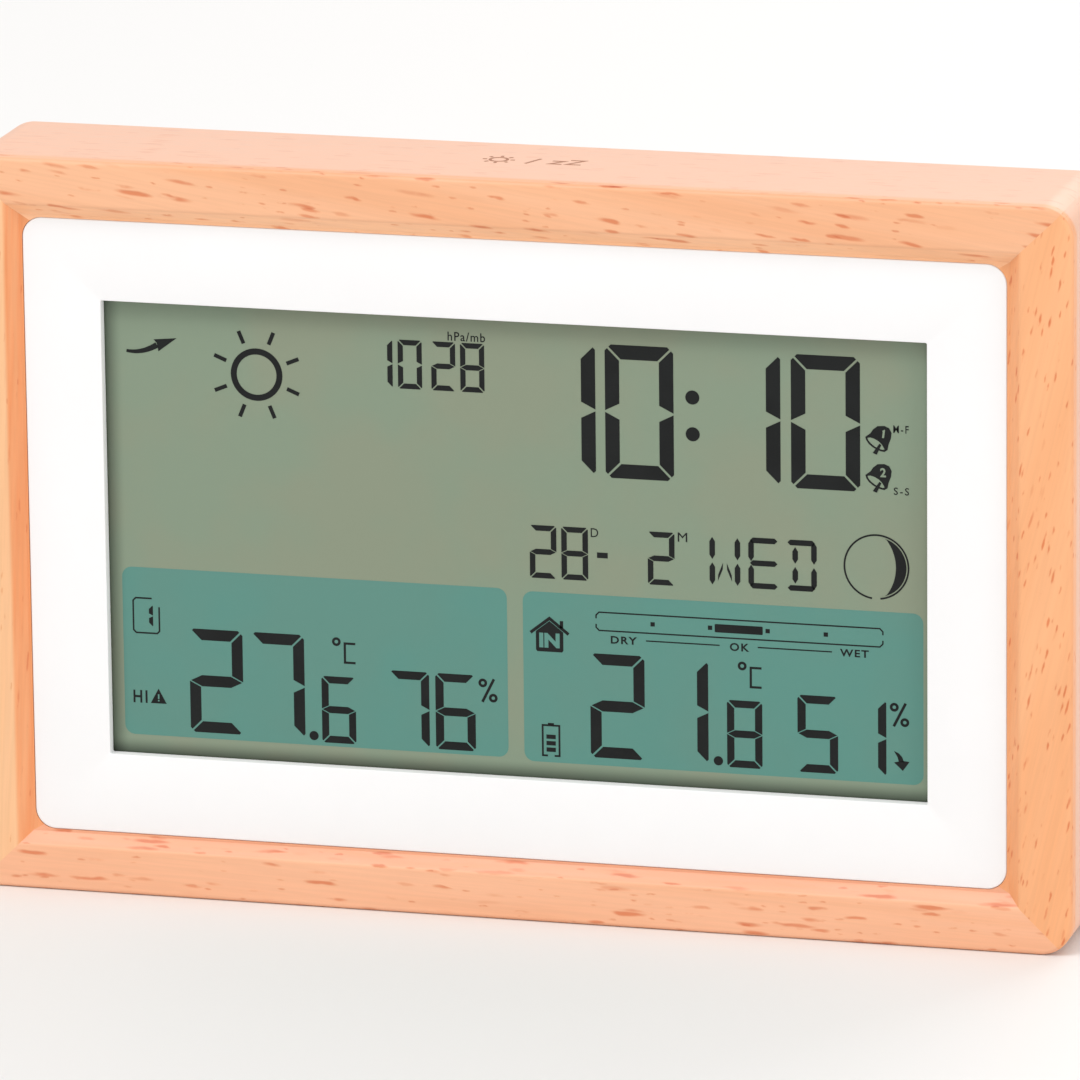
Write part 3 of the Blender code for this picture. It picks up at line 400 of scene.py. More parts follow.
def lcd_film(name, colour):
    """The reflective polariser behind the display's glass: a faint mottle and a satin front film.

    It is darker near the edges of the window: painted shade from the window's walls, and their painted dark
    reflection in the glass.
    """
    surface = Surface(name, colour, 0.36, Specular_IOR_Level=0.2)
    mottle = surface.noise(surface.place((1 / 0.016,) * 3), detail=2.0)
    warm = [c * f for c, f in zip(colour, (1.05, 0.99, 0.97))]
    cool = [c * f for c, f in zip(colour, (0.97, 1.01, 1.0))]
    mottled = surface.mix(surface.remap(mottle, 0.35, 0.65), (*cool, 1), (*warm, 1))
    place = surface.node("ShaderNodeSeparateXYZ", {0: surface.place()})
    light = None
    # Painted shade along each edge of the window: (axis, middle, edge, reach, darkest share).
    for axis, middle, edge, reach, least in (
        ("X", 0.0, -WINDOW_HALF_WIDTH, 2.6 * MM, 0.54),
        ("X", 0.0, WINDOW_HALF_WIDTH, 1.0 * MM, 0.80),
        ("Z", MIDDLE_Z, -WINDOW_HALF_HEIGHT, 2.4 * MM, 0.42),
        ("Z", MIDDLE_Z, WINDOW_HALF_HEIGHT, 4.0 * MM, 0.85),
    ):
        inner = middle + edge - math.copysign(reach, edge)
        shade = surface.remap(place.outputs[axis], middle + edge, inner, least, 1.0)
        light = shade if light is None else surface.math("MULTIPLY", light, shade)
    grey = surface.node("ShaderNodeCombineColor", {0: light, 1: light, 2: light}).outputs[0]
    surface.feed("Base Color", surface.mix(1.0, mottled, grey, "MULTIPLY"))
    surface.bump(surface.noise(surface.place((1 / 0.0001,) * 3), detail=1.0), 0.08, 0.000004)
    return surface.material


def lcd_ink(name, colour):
    """A driven segment: near black, with a slight density change from one to the next."""
    surface = Surface(name, colour, 0.36, Specular_IOR_Level=0.2)
    density = surface.noise(surface.place((1 / 0.006,) * 3), detail=1.0)
    pale = [c * 1.35 for c in colour]
    surface.feed("Base Color", surface.mix(surface.remap(density, 0.35, 0.65), (*colour, 1), (*pale, 1)))
    return surface.material


def board(name):
    """Green solder mask over copper tracks, which show as paler lines."""
    surface = Surface(name, (0.02, 0.20, 0.09), 0.35)
    tracks = surface.node(
        "ShaderNodeTexBrick",
        {
            "Vector": surface.place((1, 1, 1), (math.radians(90), 0, 0)),
            "Scale": 1.0,
            "Mortar Size": 0.00025,
            "Brick Width": 0.0071,
            "Row Height": 0.0019,
            "Mortar Smooth": 0.3,
        },
        offset=0.37,
    ).outputs["Fac"]
    blotches = surface.remap(surface.noise(surface.place((1 / 0.011,) * 3)), 0.45, 0.55)
    lines = surface.math("MULTIPLY", tracks, blotches)
    surface.feed("Base Color", surface.mix(lines, (0.02, 0.17, 0.07, 1), (0.05, 0.32, 0.15, 1)))
    surface.bump(lines, 0.4, 0.00003)
    return surface.material


def engraving(name):
    """Wood scorched by a laser: brown, matt and a little uneven."""
    surface = Surface(name, (0.34, 0.15, 0.08), 0.7)
    char = surface.noise(surface.place((1 / 0.0003,) * 3), detail=3.0)
    surface.feed("Base Color", surface.mix(char, (0.26, 0.10, 0.05, 1), (0.46, 0.22, 0.13, 1)))
    surface.bump(char, 0.5, 0.00003)
    return surface.material


def cell_wrap(name):
    """A glossy printed jacket: dark blue, with a pale band and a thin line at the positive end."""
    surface = Surface(name, (0.03, 0.10, 0.28), 0.24, Coat_Weight=0.3)
    along = surface.node("ShaderNodeSeparateXYZ", {0: surface.place()}).outputs["X"]
    distance = surface.math("ABSOLUTE", along)
    band = surface.remap(distance, 19.15 * MM, 19.25 * MM)
    line = surface.math(
        "MULTIPLY",
        surface.remap(distance, 18.2 * MM, 18.3 * MM),
        surface.remap(distance, 18.6 * MM, 18.7 * MM, 1.0, 0.0),
    )
    colour = surface.mix(band, (0.03, 0.10, 0.28, 1), (0.72, 0.70, 0.66, 1))
    surface.feed("Base Color", surface.mix(line, colour, (0.72, 0.70, 0.66, 1)))
    creases = surface.noise(surface.place((1 / 0.0009,) * 3), detail=2.0)
    surface.bump(creases, 0.2, 0.00001)
    return surface.material


def clear_plastic(name):
    surface = Surface(name, (0.93, 0.97, 0.98), 0.08, Transmission_Weight=0.85, IOR=1.49)
    dots = surface.node(
        "ShaderNodeTexVoronoi", {"Vector": surface.place((1 / 0.0016,) * 3), "Scale": 1.0}
    ).outputs["Distance"]
    surface.feed("Roughness", surface.remap(dots, 0.12, 0.2, 0.5, 0.08))
    return surface.material


# ---------------------------------------------------------------- mesh helpers


def add_piece(name, mesh, material, body=HOUSING, replaces=()):
    piece = bpy.data.objects.new(name, mesh)
    bpy.context.scene.collection.objects.link(piece)
    mesh.materials.clear()
    mesh.materials.append(material)
    mesh.shade_smooth()
    mesh.set_sharp_from_angle(angle=math.radians(35))
    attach(piece, body)
    if replaces:
        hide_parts(*replaces)
    return piece


def mesh_from(name, bm):
    mesh = bpy.data.meshes.new(name)
    bmesh.ops.recalc_face_normals(bm, faces=bm.faces)
    bm.to_mesh(mesh)
    bm.free()
    return mesh


def corner_angles(offset, steps):
    """Angles round a corner, with one where a mitre at 45 degrees crosses it.

    The offset is how far the mitre passes from the corner's centre of curvature, as a share of its radius.
    """
    low, high = 0.0, math.pi / 2
    for _ in range(40):
        angle = (low + high) / 2
        if math.sin(angle) - math.cos(angle) < offset:
            low = angle
        else:
            high = angle
    mitre = (low + high) / 2
    first = [mitre * i / steps for i in range(steps + 1)]
    second = [mitre + (math.pi / 2 - mitre) * i / steps for i in range(1, steps + 1)]
    return first + second


def loop_point(corner, angle, half_x, half_z, radius, y):
    """A point on a rounded rectangle. Corners run right top, left top, left bottom, right bottom."""
    side = 1 if corner in (0, 3) else -1
    end = 1 if corner in (0, 1) else -1
    if corner in (1, 3):
        angle = math.pi / 2 - angle
    return Vector(
        (
            side * (half_x - radius + radius * math.cos(angle)),
            y,
            MIDDLE_Z + end * (half_z - radius + radius * math.sin(angle)),
        )
    )


def sweep(name, profile, stations, closed):
    """A profile of (half width, half height, corner radius, y) swept round stations of (corner, angle)."""
    bm = bmesh.new()
    rings = []
    for corner, angle in stations:
        rings.append([bm.verts.new(loop_point(corner, angle, *row)) for row in profile])
    count = len(profile)
    spans = len(rings) if closed else len(rings) - 1
    for i in range(spans):
        near, far = rings[i], rings[(i + 1) % len(rings)]
        for j in range(count):
            k = (j + 1) % count
            bm.faces.new((near[j], near[k], far[k], far[j]))
    if not closed:
        bm.faces.new(rings[0])
        bm.faces.new(rings[-1])
    return mesh_from(name, bm)


def arc(centre, radius, start, end, steps):
    """Points of (inset, y) along an arc, with angles in degrees."""
    points = []
    for i in range(steps + 1):
        angle = math.radians(start + (end - start) * i / steps)
        points.append((centre[0] + radius * math.cos(angle), centre[1] + radius * math.sin(angle)))
    return points


# ---------------------------------------------------------------- wooden frame


def wood_profile():
    """The rail's section as (half width, half height, corner radius, y), from the rear edge round the outside."""
    rows = []

    def row(inset_x, inset_z, radius, y):
        rows.append((HALF_WIDTH - EASE - inset_x, HALF_HEIGHT - EASE - inset_z, max(radius, SHARP), y))

    rear, front = REAR_Y - EASE, FRONT_Y + EASE
    for inset, y in arc((REAR_ARRIS, rear - REAR_ARRIS), REAR_ARRIS, 90, 180, 5):
        row(inset, inset, OUTER_CORNER_RADIUS - inset, y)
    for inset, y in arc((FRONT_ARRIS, front + FRONT_ARRIS), FRONT_ARRIS, 180, 270, 8):
        row(inset, inset, OUTER_CORNER_RADIUS - inset, y)
    for inset, y in arc((-INNER_ARRIS, front + INNER_ARRIS), INNER_ARRIS, 270, 321, 5):
        row(SIDE_RIM + inset, END_RIM + inset, SHARP, y)
    bend_y = FRONT_Y + BEVEL_DEPTH
    floor_y = FRONT_Y + RECESS_DEPTH
    back_y = floor_y + LEDGE_THICKNESS
    side, end = SIDE_RIM + BEVEL_WIDTH, END_RIM + BEVEL_WIDTH
    row(side, end, SHARP, bend_y)
    wall_x = HALF_WIDTH - EASE - BEZEL_HIGH.x - WALL_TO_BEZEL
    wall_z = HALF_HEIGHT - EASE - (BEZEL_HIGH.z - BEZEL_LOW.z) / 2 - WALL_TO_BEZEL
    wall_radius = BEZEL_RADIUS + WALL_TO_BEZEL
    row(wall_x, wall_z, wall_radius, bend_y)
    row(wall_x, wall_z, wall_radius, floor_y)
    row(side + SIDE_LEDGE, end + END_LEDGE, SHARP, floor_y)
    row(side + SIDE_LEDGE, end + END_LEDGE, SHARP, back_y)
    row(CAVITY_SIDE, CAVITY_END, SHARP, back_y)
    row(CAVITY_SIDE, CAVITY_END, SHARP, rear - 0.3 * MM)
    row(CAVITY_SIDE - 0.3 * MM, CAVITY_END - 0.3 * MM, SHARP, rear)
    return rows


def make_frame():
    """Four mitred pieces, each with its own grain. Each runs from one corner's mitre to the next one's."""
    steps = 7
    angles = corner_angles((SIDE_RIM - END_RIM) / OUTER_CORNER_RADIUS, steps)
    profile = wood_profile()
    # Rows: name, first corner, second corner, grain axis, tilt, shift, flecks, tint, and the inner bevel's painted
    # light and shade as (tint, fade).
    layout = (
        (
            "top_rail", 0, 1, 0, -8, (0.013, 0.002, 0.004),
            FLECKS_LONG, (1.01, 1.02, 1.04), ((1.12, 1.16, 1.14), 0.4 * MM),
        ),
        (
            "left_stile", 1, 2, 2, -3, (0.004, 0.021, 0.017),
            FLECKS_FEW, (1.05, 1.17, 1.14), ((0.91, 0.57, 0.39), 1.0 * MM),
        ),
        (
            "bottom_rail", 2, 3, 0, -2, (0.051, 0.005, 0.033),
            FLECKS_LONG, (1.03, 1.03, 1.10), ((0.96, 0.84, 0.84), 0.4 * MM),
        ),
        (
            "right_stile", 3, 0, 2, -13, (0.031, 0.017, 0.009),
            FLECKS_SHORT, (1.04, 0.965, 0.83), ((0.96, 0.88, 0.82), 0.4 * MM),
        ),
    )
    flipped = [math.pi / 2 - angle for angle in reversed(angles)]
    for name, first, second, grain_axis, tilt, shift, flecks, tint, edge in layout:
        after_mitre = (flipped if first in (1, 3) else angles)[steps:]
        before_mitre = (flipped if second in (1, 3) else angles)[: steps + 1]
        stations = [(first, angle) for angle in after_mitre] + [(second, angle) for angle in before_mitre]
        mesh = sweep(f"wood_{name}", profile, stations, closed=False)
        material = beech(f"beech_{name}", grain_axis, tilt, shift, flecks, tint, edge)
        add_piece(f"wood_{name}", mesh, material, replaces=[f"frame_{name}"])


# ---------------------------------------------------------------- bezel and display


def make_bezel(material):
    half_x, half_z = BEZEL_HIGH.x, (BEZEL_HIGH.z - BEZEL_LOW.z) / 2
    front, back = BEZEL_LOW.y, BEZEL_HIGH.y
    profile = [(half_x, half_z, BEZEL_RADIUS, back)]
    for inset, y in arc((BEZEL_EDGE, front + BEZEL_EDGE), BEZEL_EDGE, 180, 270, 6):
        profile.append((half_x - inset, half_z - inset, BEZEL_RADIUS - inset, y))
    for inset, y in arc((-WINDOW_EDGE, front + WINDOW_EDGE), WINDOW_EDGE, 270, 360, 3):
        spread = -inset
        profile.append((WINDOW_HALF_WIDTH + spread, WINDOW_HALF_HEIGHT + spread, 0.25 * MM + spread, y))
    profile.append((WINDOW_HALF_WIDTH, WINDOW_HALF_HEIGHT, 0.25 * MM, back))
    angles = [math.pi / 2 * i / 12 for i in range(13)]
    stations = [(corner, a) for corner in range(4) for a in angles]
    mesh = sweep("bezel", profile, stations, closed=True)
    return add_piece("bezel", mesh, material, replaces=["bezel_plate"])


class Marks:
    """Flat shapes on one plane, gathered into one mesh of thin prisms. Sizes are in millimetres."""

    def __init__(self, origin, across, up, out, thickness):
        self.bm = bmesh.new()
        self.origin = Vector(origin)
        self.across = Vector(across) * MM
        self.up = Vector(up) * MM
        self.lift = Vector(out) * thickness

    def at(self, point, raised):
        place = self.origin + self.across * point[0] + self.up * point[1]
        return self.bm.verts.new(place + self.lift if raised else place)

    def polygon(self, points):
        low = [self.at(p, False) for p in points]
        high = [self.at(p, True) for p in points]
        self.bm.faces.new(low)
        self.bm.faces.new(high)
        for i in range(len(points)):
            j = (i + 1) % len(points)
            self.bm.faces.new((low[i], low[j], high[j], high[i]))

    def band(self, left, right, closed):
        """A strip between two lists of points."""
        rows = []
        for a, b in zip(left, right):
            rows.append((self.at(a, False), self.at(b, False), self.at(b, True), self.at(a, True)))
        spans = len(rows) if closed else len(rows) - 1
        for i in range(spans):
            near, far = rows[i], rows[(i + 1) % len(rows)]
            for j in range(4):
                k = (j + 1) % 4
                self.bm.faces.new((near[j], near[k], far[k], far[j]))
        if not closed:
            self.bm.faces.new(rows[0])
            self.bm.faces.new(rows[-1])

    def ring(self, centre, outer, inner, start=0, end=360, steps=32):
        full = end - start >= 360
        count = steps if full else steps + 1
        angles = [math.radians(start + (end - start) * i / steps) for i in range(count)]
        loops = []
        for radius in (outer, inner):
            loops.append([(centre[0] + radius * math.cos(a), centre[1] + radius * math.sin(a)) for a in angles])
        self.band(loops[0], loops[1], full)

    def disc(self, centre, radius, steps=20):
        turn = 2 * math.pi / steps
        self.polygon(
            [(centre[0] + radius * math.cos(i * turn), centre[1] + radius * math.sin(i * turn)) for i in range(steps)]
        )

    def box(self, left, bottom, right, top):
        self.polygon([(left, bottom), (right, bottom), (right, top), (left, top)])

    def rounded_box(self, left, bottom, right, top, radius, steps=6):
        points = []
        for cx, cz, start in (
            (right - radius, top - radius, 0),
            (left + radius, top - radius, 90),
            (left + radius, bottom + radius, 180),
            (right - radius, bottom + radius, 270),
        ):
            for i in range(steps + 1):
                angle = math.radians(start + 90 * i / steps)
                points.append((cx + radius * math.cos(angle), cz + radius * math.sin(angle)))
        self.polygon(points)

    def stroke(self, points, width):
        """A line of even width through the points, mitred at its bends."""
        path = [Vector(p) for p in points]
        left, right = [], []
        for i, point in enumerate(path):
            before = (point - path[i - 1]).normalized() if i > 0 else None
            after = (path[i + 1] - point).normalized() if i < len(path) - 1 else None
            along = (before or after) + (after or before)
            along.normalize()
            side = Vector((-along.y, along.x))
            reach = width / 2 / max(0.4, along.dot(before or after))
            left.append(point + side * reach)
            right.append(point - side * reach)
        self.band(left, right, False)

    def text(self, words, left, bottom, width, height, bold=0.0, spacing=1.0):
        """Words in Blender's own typeface, fitted to a box."""
        curve = bpy.data.curves.new("words", "FONT")
        curve.body = words
        curve.resolution_u = 3
        curve.offset = bold
        curve.space_character = spacing
        curve.extrude = 0.5
        holder = bpy.data.objects.new("words", curve)
        bpy.context.scene.collection.objects.link(holder)
        bpy.context.view_layer.update()
        mesh = bpy.data.meshes.new_from_object(holder.evaluated_get(bpy.context.evaluated_depsgraph_get()))
        bpy.data.objects.remove(holder)
        bpy.data.curves.remove(curve)
        low = [min(v.co[i] for v in mesh.vertices) for i in range(2)]
        high = [max(v.co[i] for v in mesh.vertices) for i in range(2)]
        for vertex in mesh.vertices:
            u = left + width * (vertex.co.x - low[0]) / (high[0] - low[0])
            v = bottom + height * (vertex.co.y - low[1]) / (high[1] - low[1])
            raised = vertex.co.z > 0
            place = self.origin + self.across * u + self.up * v
            vertex.co = place + self.lift if raised else place
        self.bm.from_mesh(mesh)
        bpy.data.meshes.remove(mesh)

    def piece(self, name, material, slot, body=HOUSING, replaces=()):
        bmesh.ops.remove_doubles(self.bm, verts=self.bm.verts, dist=1e-7)
        return add_piece(name, mesh_from(name, self.bm), material, body, replaces)


def inset_polygon(points, gap):
    """A convex outline moved inwards by gap, given anticlockwise."""
    lines = []
    for i, point in enumerate(points):
        a, b = Vector(point), Vector(points[(i + 1) % len(points)])
        along = (b - a).normalized()
        lines.append((a + Vector((-along.y, along.x)) * gap, along))
    corners = []
    for i, (point, along) in enumerate(lines):
        other, direction = lines[i - 1]
        cross = direction.x * along.y - direction.y * along.x
        offset = point - other
        t = (offset.x * along.y - offset.y * along.x) / cross
        corners.append(other + direction * t)
    return corners


def clip_polygon(points, normal, limit):
    """The part of an outline where its dot product with normal is at most limit."""
    kept = []
    normal = Vector(normal)
    for i, point in enumerate(points):
        after = points[(i + 1) % len(points)]
        here, there = point.dot(normal) - limit, after.dot(normal) - limit
        if here <= 0:
            kept.append(point)
        if here * there < 0:
            kept.append(point + (after - point) * (here / (here - there)))
    return kept


DIGIT_SEGMENTS = {
    "0": "abcdef",
    "1": "bc",
    "2": "abged",
    "5": "afgcd",
    "6": "afgedc",
    "7": "abc",
    "8": "abcdefg",
    "E": "adefg",
}


def segment_outlines(width, height, stroke, reach):
    """Outlines of the seven segments in a box of that size, anticlockwise, before the gaps between them.

    The upright segments reach a little past the middle, as their ends slope.
    """
    middle = height / 2
    half = stroke / 2
    inner = width - stroke
    return {
        "a": [(0, height), (stroke, height - stroke), (inner, height - stroke), (width, height)],
        "b": [(width, middle - reach), (width, height), (inner, height - stroke), (inner, middle + half - reach)],
        "c": [(width, 0), (width, middle + reach), (inner, middle - half + reach), (inner, stroke)],
        "d": [(0, 0), (width, 0), (inner, stroke), (stroke, stroke)],
        "e": [(0, 0), (stroke, stroke), (stroke, middle - half + reach), (0, middle + reach)],
        "f": [(0, middle - reach), (stroke, middle + half - reach), (stroke, height - stroke), (0, height)],
        "g": [
            (0, middle),
            (stroke, middle - half),
            (inner, middle - half),
            (width, middle),
            (inner, middle + half),
            (stroke, middle + half),
        ],
    }


def draw_digit(marks, digit, left, bottom, width, height, stroke, gap):
    """One seven-segment figure with clipped outer corners."""
    left -= gap / 2
    bottom -= gap / 2
    width += gap
    height += gap
    stroke += gap
    chamfer = stroke * 0.5
    diagonal = math.sqrt(0.5)
    cuts = (
        ((-diagonal, -diagonal), -chamfer * diagonal),
        ((diagonal, -diagonal), (width - chamfer) * diagonal),
        ((diagonal, diagonal), (width + height - chamfer) * diagonal),
        ((-diagonal, diagonal), (height - chamfer) * diagonal),
    )
    outlines = segment_outlines(width, height, stroke, gap * 0.4)
    for segment in DIGIT_SEGMENTS[digit]:
        outline = outlines[segment]
        area = sum(
            p[0] * q[1] - q[0] * p[1] for p, q in zip(outline, outline[1:] + outline[:1])
        )
        if area < 0:
            outline = outline[::-1]
        shape = inset_polygon(outline, gap / 2)
        for normal, limit in cuts:
            shape = clip_polygon(shape, normal, limit)
        marks.polygon([(left + p[0], bottom + p[1]) for p in shape])


def draw_number(marks, digits, bottom, height, width, stroke, gap):
    """Figures given as (digit, left edge)."""
    for digit, left in digits:
        draw_digit(marks, digit, left, bottom, width, height, stroke, gap)


def draw_letter(marks, letter, left, bottom, width, height, stroke):
    """One letter of a fourteen-segment row, from bars that taper at their ends."""
    middle = bottom + height / 2
    right, top = left + width, bottom + height
    half = stroke / 2
    taper = stroke * 0.8

    def upright(x, low, high):
        marks.polygon(
            [
                (x, low),
                (x + half, low + taper),
                (x + half, high - taper),
                (x, high),
                (x - half, high - taper),
                (x - half, low + taper),
            ]
        )

    def level(z, start, end):
        marks.polygon(
            [
                (start, z),
                (start + half, z - half),
                (end - half, z - half),
                (end, z),
                (end - half, z + half),
                (start + half, z + half),
            ]
        )

    gap = stroke * 0.3
    if letter == "W":
        for x in (left + half, right - half):
            upright(x, bottom + gap, middle - gap)
            upright(x, middle + gap, top - gap)
        centre = (left + right) / 2
        for side in (-1, 1):
            foot = centre + side * (width / 2 - stroke * 1.5)
            near = centre + side * stroke * 0.35
            marks.polygon(
                [
                    (foot, bottom + stroke),
                    (foot - side * stroke * 0.05, bottom + stroke * 2.1),
                    (near, middle - gap),
                    (near + side * stroke * 0.05, middle - gap - stroke * 1.2),
                ]
            )
    else:
        segments = {"E": "lower_left upper_left", "D": "centre"}[letter]
        level(top - half, left + gap, right - gap)
        level(bottom + half, left + gap, right - gap)
        if letter == "E":
            level(middle, left + gap, right - gap)
            upright(left + half, bottom + gap, middle - gap)
            upright(left + half, middle + gap, top - gap)
        else:
            centre = (left + right) / 2 - stroke * 0.2
            upright(centre - stroke * 0.9, bottom + stroke + gap, middle - gap)
            upright(centre - stroke * 0.9, middle + gap, top - stroke - gap)
            upright(right - half, bottom + gap, middle - gap)
            upright(right - half, middle + gap, top - gap)


def draw_degree_c(marks, left, top):
    """A degree ring and a square letter C."""
    marks.ring((left + 0.58, top - 0.6), 0.66, 0.28, steps=20)
    right, upper, lower = left + 3.45, top - 0.80, top - 3.68
    marks.stroke([(right, upper), (left + 1.85, upper), (left + 1.85, lower), (right, lower)], 0.34)


def draw_percent(marks, left, bottom):
    marks.ring((left + 0.60, bottom + 2.85), 0.66, 0.26, steps=20)
    marks.ring((left + 2.15, bottom + 0.65), 0.66, 0.26, steps=20)
    marks.stroke([(left + 0.52, bottom), (left + 2.28, bottom + 3.50)], 0.40)


BELL_OUTLINE = (
    (-1.95, 0.28), (-1.20, 0.85), (-0.80, 1.45), (-0.15, 1.95), (0.85, 2.02), (1.55, 1.72),
    (1.90, 1.05), (1.80, 0.20), (1.45, -0.70), (1.30, -1.50), (0.85, -1.80), (0.30, -1.72),
    (-0.25, -1.52), (-0.85, -1.20), (-1.45, -0.72), (-1.82, -0.18),
)
BELL_MOUTH = (
    (-1.62, 0.16), (-1.20, 0.22), (-0.60, 0.05), (0.0, -0.28), (0.48, -0.74), (0.86, -1.40),
    (0.60, -1.50), (0.10, -1.36), (-0.50, -1.10), (-1.10, -0.66), (-1.50, -0.20),
)
BELL_CLAPPER = ((0.10, -0.62), (0.42, -0.80), (-0.28, -2.24), (-0.86, -2.02))
BELL_ONE = ((0.55, 1.30), (0.95, 1.50), (0.80, 0.25), (0.50, 0.25), (0.62, 1.10))


def draw_bell(marks, cut, over, centre, number):
    """A tilted bell with its mouth and its number left pale, and its clapper over the mouth."""
    x, z = centre
    marks.polygon([(x + u, z + v) for u, v in BELL_OUTLINE])
    cut.polygon([(x + u, z + v) for u, v in BELL_MOUTH])
    over.polygon([(x + u, z + v) for u, v in BELL_CLAPPER])
    if number == "1":
        cut.polygon([(x + u, z + v) for u, v in BELL_ONE])
    else:
        cut.text(number, x + 0.22, z + 0.08, 0.85, 1.35, 0.03)


def draw_trend_arrow(marks):
    """A swelling curve that ends in a barbed head."""
    tail = (-58.2, 81.4)
    neck = (-53.55, 82.45)
    bend = (-55.9, 81.0)
    left, right = [], []
    for i in range(11):
        t = i / 10
        centre = [(1 - t) ** 2 * a + 2 * t * (1 - t) * b + t * t * c for a, b, c in zip(tail, bend, neck)]
        slope = [2 * (1 - t) * (b - a) + 2 * t * (c - b) for a, b, c in zip(tail, bend, neck)]
        size = math.hypot(*slope)
        half = 0.22 + 0.22 * t
        left.append((centre[0] - slope[1] / size * half, centre[1] + slope[0] / size * half))
        right.append((centre[0] + slope[1] / size * half, centre[1] - slope[0] / size * half))
    marks.band(left, right, False)
    marks.polygon([(-54.05, 83.25), (-53.62, 82.80), (-53.42, 82.10), (-53.35, 81.50), (-50.55, 83.60)])


def draw_sun(marks, centre):
    marks.ring(centre, 3.90, 3.00, steps=48)
    for i in range(8):
        angle = math.radians(22.5 + 45 * i)
        ends = [(centre[0] + r * math.cos(angle), centre[1] + r * math.sin(angle)) for r in (4.92, 6.88)]
        marks.stroke(ends, 0.58)


def draw_moon(marks, centre):
    """A thin ring with a dark crescent inside its right edge."""
    marks.ring(centre, 4.84, 4.58, -83, 262, 64)
    outer, shift, inner = 4.42, -3.9, 6.76
    left, right = [], []
    steps = 24
    for i in range(steps + 1):
        angle = math.radians(-80 + 160 * i / steps)
        x = outer * math.cos(angle)
        z = outer * math.sin(angle)
        edge = shift + math.sqrt(max(0.0, inner * inner - z * z))
        left.append((centre[0] + min(edge, x - 0.02), centre[1] + z))
        right.append((centre[0] + x, centre[1] + z))
    marks.band(left, right, False)


HOUSE_WALLS = ((0.8, 0.25), (1.0, 0), (4.7, 0), (4.9, 0.25), (4.9, 3.0), (2.85, 4.6), (0.8, 3.0))


def draw_house(marks, cut, left, bottom):
    """A house with the word IN left pale."""
    marks.polygon([(left + u, bottom + v) for u, v in HOUSE_WALLS])
    eaves = bottom + 2.75
    marks.stroke([(left, eaves), (left + 2.85, bottom + 5.0), (left + 5.7, eaves)], 0.46)
    marks.box(left + 4.40, bottom + 3.6, left + 4.90, bottom + 4.7)
    cut.text("IN", left + 1.30, bottom + 0.60, 3.05, 2.20, 0.05)


def draw_comfort_bar(marks):
    left, right, bottom, top = 11.95, 54.45, 43.50, 46.22
    corner = 0.45
    line = 0.21
    for z, turn in ((top, -1), (bottom, 1)):
        marks.stroke(
            [
                (left, z + turn * 0.95),
                (left, z + turn * corner),
                (left + corner, z),
                (right - corner, z),
                (right, z + turn * corner),
                (right, z + turn * 0.95),
            ],
            line,
        )
    for x in (20.38, 28.91, 37.45, 46.04):
        marks.box(x - 0.32, 44.55, x + 0.32, 45.19)
    marks.rounded_box(29.60, 44.24, 36.72, 45.48, 0.15, 3)
    marks.text("DRY", 14.12, 41.64, 3.90, 1.14, 0.025, 1.2)
    marks.text("OK", 31.82, 41.60, 2.89, 1.22, 0.025, 1.2)
    marks.text("WET", 48.12, 41.76, 4.24, 1.12, 0.025, 1.2)
    marks.stroke([(19.36, 42.33), (30.32, 42.33)], 0.19)
    marks.stroke([(35.97, 42.35), (46.94, 42.35)], 0.19)


def draw_battery(marks, left, bottom):
    """A cell standing up, with three bars of charge."""
    right, low, high = left + 2.5, bottom + 0.1, bottom + 4.65
    gap_left, gap_right = left + 0.75, left + 1.75
    outline = [(gap_left, low), (left, low), (left, high), (right, high), (right, low), (gap_right, low)]
    marks.stroke(outline, 0.28)
    marks.box(left + 0.80, bottom + 4.72, left + 1.70, bottom + 5.02)
    for level in (0.68, 1.65, 2.62):
        marks.box(left + 0.55, bottom + level, left + 1.95, bottom + level + 0.64)


CHANNEL_OUTLINE = (
    (-55.15, 44.30), (-57.6, 44.30), (-58.0, 43.9), (-58.0, 39.45),
    (-57.6, 39.05), (-54.4, 39.05), (-54.05, 39.4), (-54.05, 43.05),
)


